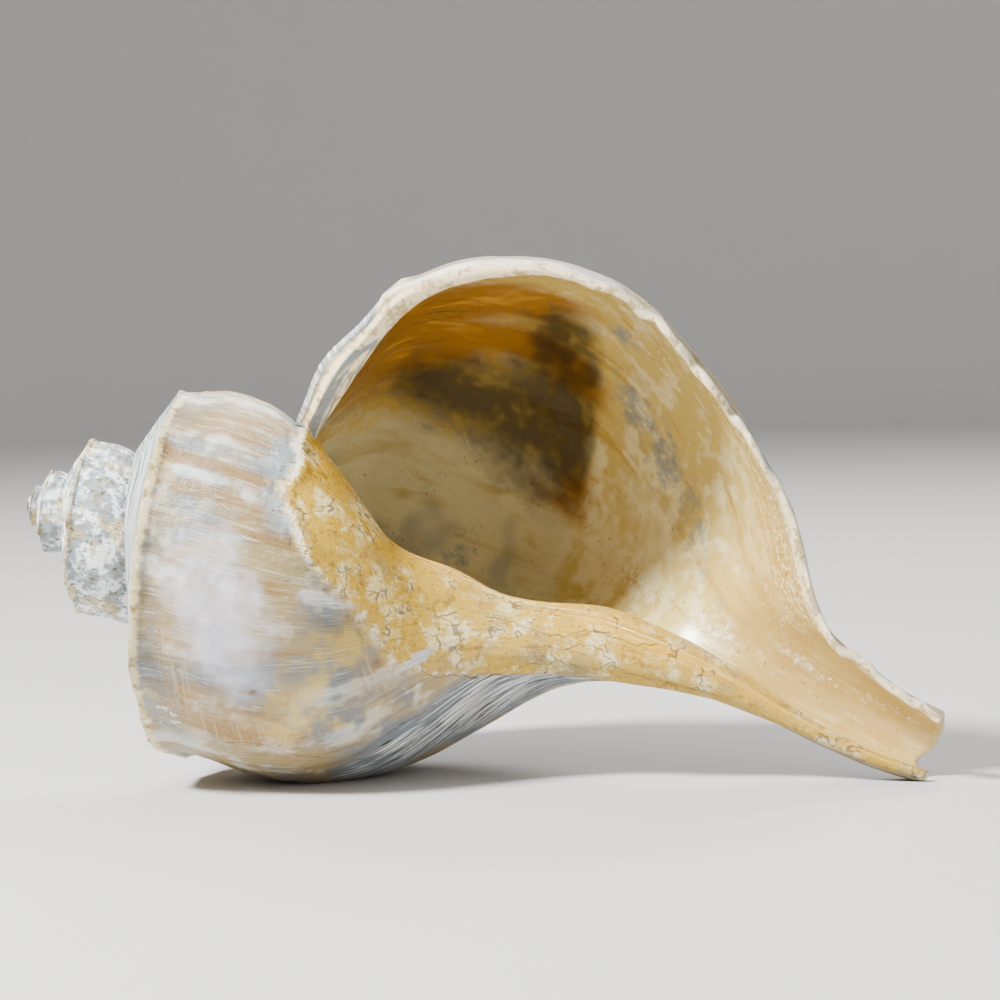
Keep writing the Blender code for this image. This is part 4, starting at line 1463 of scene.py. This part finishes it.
@dataclass(frozen=True)
class Studio:
    """Pale floor that curves up all round into its backdrop, and soft lights round the shell."""

    floor_radius: float = 1.8
    curve_radius: float = 0.9
    curve_steps: int = 16
    sides: int = 128
    wall_height: float = 0.2
    floor_colour: str = "#BDBBB9"
    floor_rough: float = 0.8
    sky_colour: str = "#E4E7EC"
    sky_strength: float = 0.28
    # name, place, size and power of each soft light, which faces the shell
    lights: tuple[tuple[str, tuple[float, float, float], float, float], ...] = (
        ("key", (-0.66, -0.55, 0.90), 0.26, 64.0),
        ("fill", (0.80, -0.85, 0.50), 0.80, 5.0),
        ("back", (0.10, 0.80, 0.90), 0.60, 12.0),
    )
    aim: tuple[float, float, float] = (0.0, 0.0, 0.05)

    def seamless_floor(self) -> Piece:
        """Round floor, drawn down ring by ring from the backdrop's top edge and round its curve."""
        widest, top = self.floor_radius + self.curve_radius, self.curve_radius + self.wall_height
        rings = []
        for step in range(self.curve_steps, -1, -1):
            turned = math.pi / 2 * step / self.curve_steps
            out = self.floor_radius + self.curve_radius * math.sin(turned)
            rings.append((out, self.curve_radius * (1 - math.cos(turned))))
        bpy.ops.object.select_all(action="DESELECT")
        disc = {"vertices": self.sides, "radius": widest, "fill_type": "NGON"}
        bpy.ops.mesh.primitive_circle_add(**disc, location=(0, 0, top))
        floor = bpy.context.object
        floor.name = "floor"
        bpy.ops.object.transform_apply(location=True)
        bpy.ops.object.mode_set(mode="EDIT")
        bpy.ops.mesh.select_all(action="SELECT")
        reached, height = widest, top
        for out, up in rings:
            bpy.ops.mesh.extrude_region_move()
            bpy.ops.transform.resize(value=(out / reached, out / reached, 1))
            bpy.ops.transform.translate(value=(0, 0, up - height))
            reached, height = out, up
        bpy.ops.object.mode_set(mode="OBJECT")
        bpy.ops.object.shade_smooth_by_angle(angle=math.radians(30))
        return floor

    def build(self) -> None:
        """Adds the floor, the lights and the sky."""
        floor = self.seamless_floor()
        # matt board, which gives an even pale ground and soft shadows without any shine
        material = bpy.data.materials.new("matt_painted_board")
        material.use_nodes = True
        shader = material.node_tree.nodes["Principled BSDF"]
        shader.inputs["Base Color"].default_value = linear(self.floor_colour)
        shader.inputs["Roughness"].default_value = self.floor_rough
        floor.data.materials.append(material)
        for name, place, size, power in self.lights:
            lamp = bpy.data.lights.new(name, "AREA")
            lamp.shape = "DISK"
            lamp.size = size
            lamp.energy = power
            holder = bpy.data.objects.new(name, lamp)
            holder.location = place
            holder.rotation_euler = (Vector(self.aim) - Vector(place)).to_track_quat("-Z", "Y").to_euler()
            bpy.context.scene.collection.objects.link(holder)
        world = bpy.data.worlds.new("soft_sky")
        world.use_nodes = True
        sky = world.node_tree.nodes["Background"]
        sky.inputs["Color"].default_value = linear(self.sky_colour)
        sky.inputs["Strength"].default_value = self.sky_strength
        bpy.context.scene.world = world


@dataclass(frozen=True)
class PhotoCamera:
    """Camera at the photograph's angle, for a picture of 1000 by 1000 pixels.

    The offsets place it from the apex: along the picture's width, up it, and back from it.
    """

    tilt: float = 14.2
    swing: float = 8.9
    along: float = 0.10413
    up: float = -0.00141
    back: float = 0.8147
    lens: float = 132.5
    sensor: float = 36.0

    def build(self, coil: Coil) -> None:
        """Adds the camera and makes it the scene's."""
        tilt, swing = math.radians(self.tilt), math.radians(self.swing)
        wide = Vector((math.cos(swing) * math.cos(tilt), math.sin(swing) * math.cos(tilt), math.sin(tilt)))
        away = Vector((-math.sin(swing), math.cos(swing), 0))
        tall = Vector((-math.cos(swing) * math.sin(tilt), -math.sin(swing) * math.sin(tilt), math.cos(tilt)))
        roll = Matrix.Rotation(math.radians(coil.roll), 3, "X")
        lay = Matrix.Rotation(-math.radians(coil.pitch), 3, "Y")
        wide, away, tall = (lay @ roll @ axis for axis in (wide, away, tall))
        place = Vector(coil.apex_at) + wide * self.along + tall * self.up - away * self.back
        camera = bpy.data.objects.new("photo_camera", bpy.data.cameras.new("photo_camera"))
        turned = Matrix((wide, tall, -away)).transposed().to_4x4()
        camera.matrix_world = Matrix.Translation(place) @ turned
        camera.data.lens = self.lens
        camera.data.sensor_width = self.sensor
        bpy.context.scene.collection.objects.link(camera)
        bpy.context.scene.camera = camera


def main() -> None:
    """Builds the shell, then the studio and the camera."""
    logging.basicConfig(level=logging.INFO, format="%(name)s: %(message)s")
    coil = Coil()
    skin = ShellSkin(coil, Relief(), Markings()).build()
    OldShell().dress(skin)
    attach(skin, "root")
    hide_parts("whelk_shell")
    log.info("shell skin: %d triangles", len(skin.data.polygons))
    Studio().build()
    log.info("studio: floor and lights")
    PhotoCamera().build(coil)
    log.info("camera at the photograph's angle")


if __name__ == "__main__":
    main()
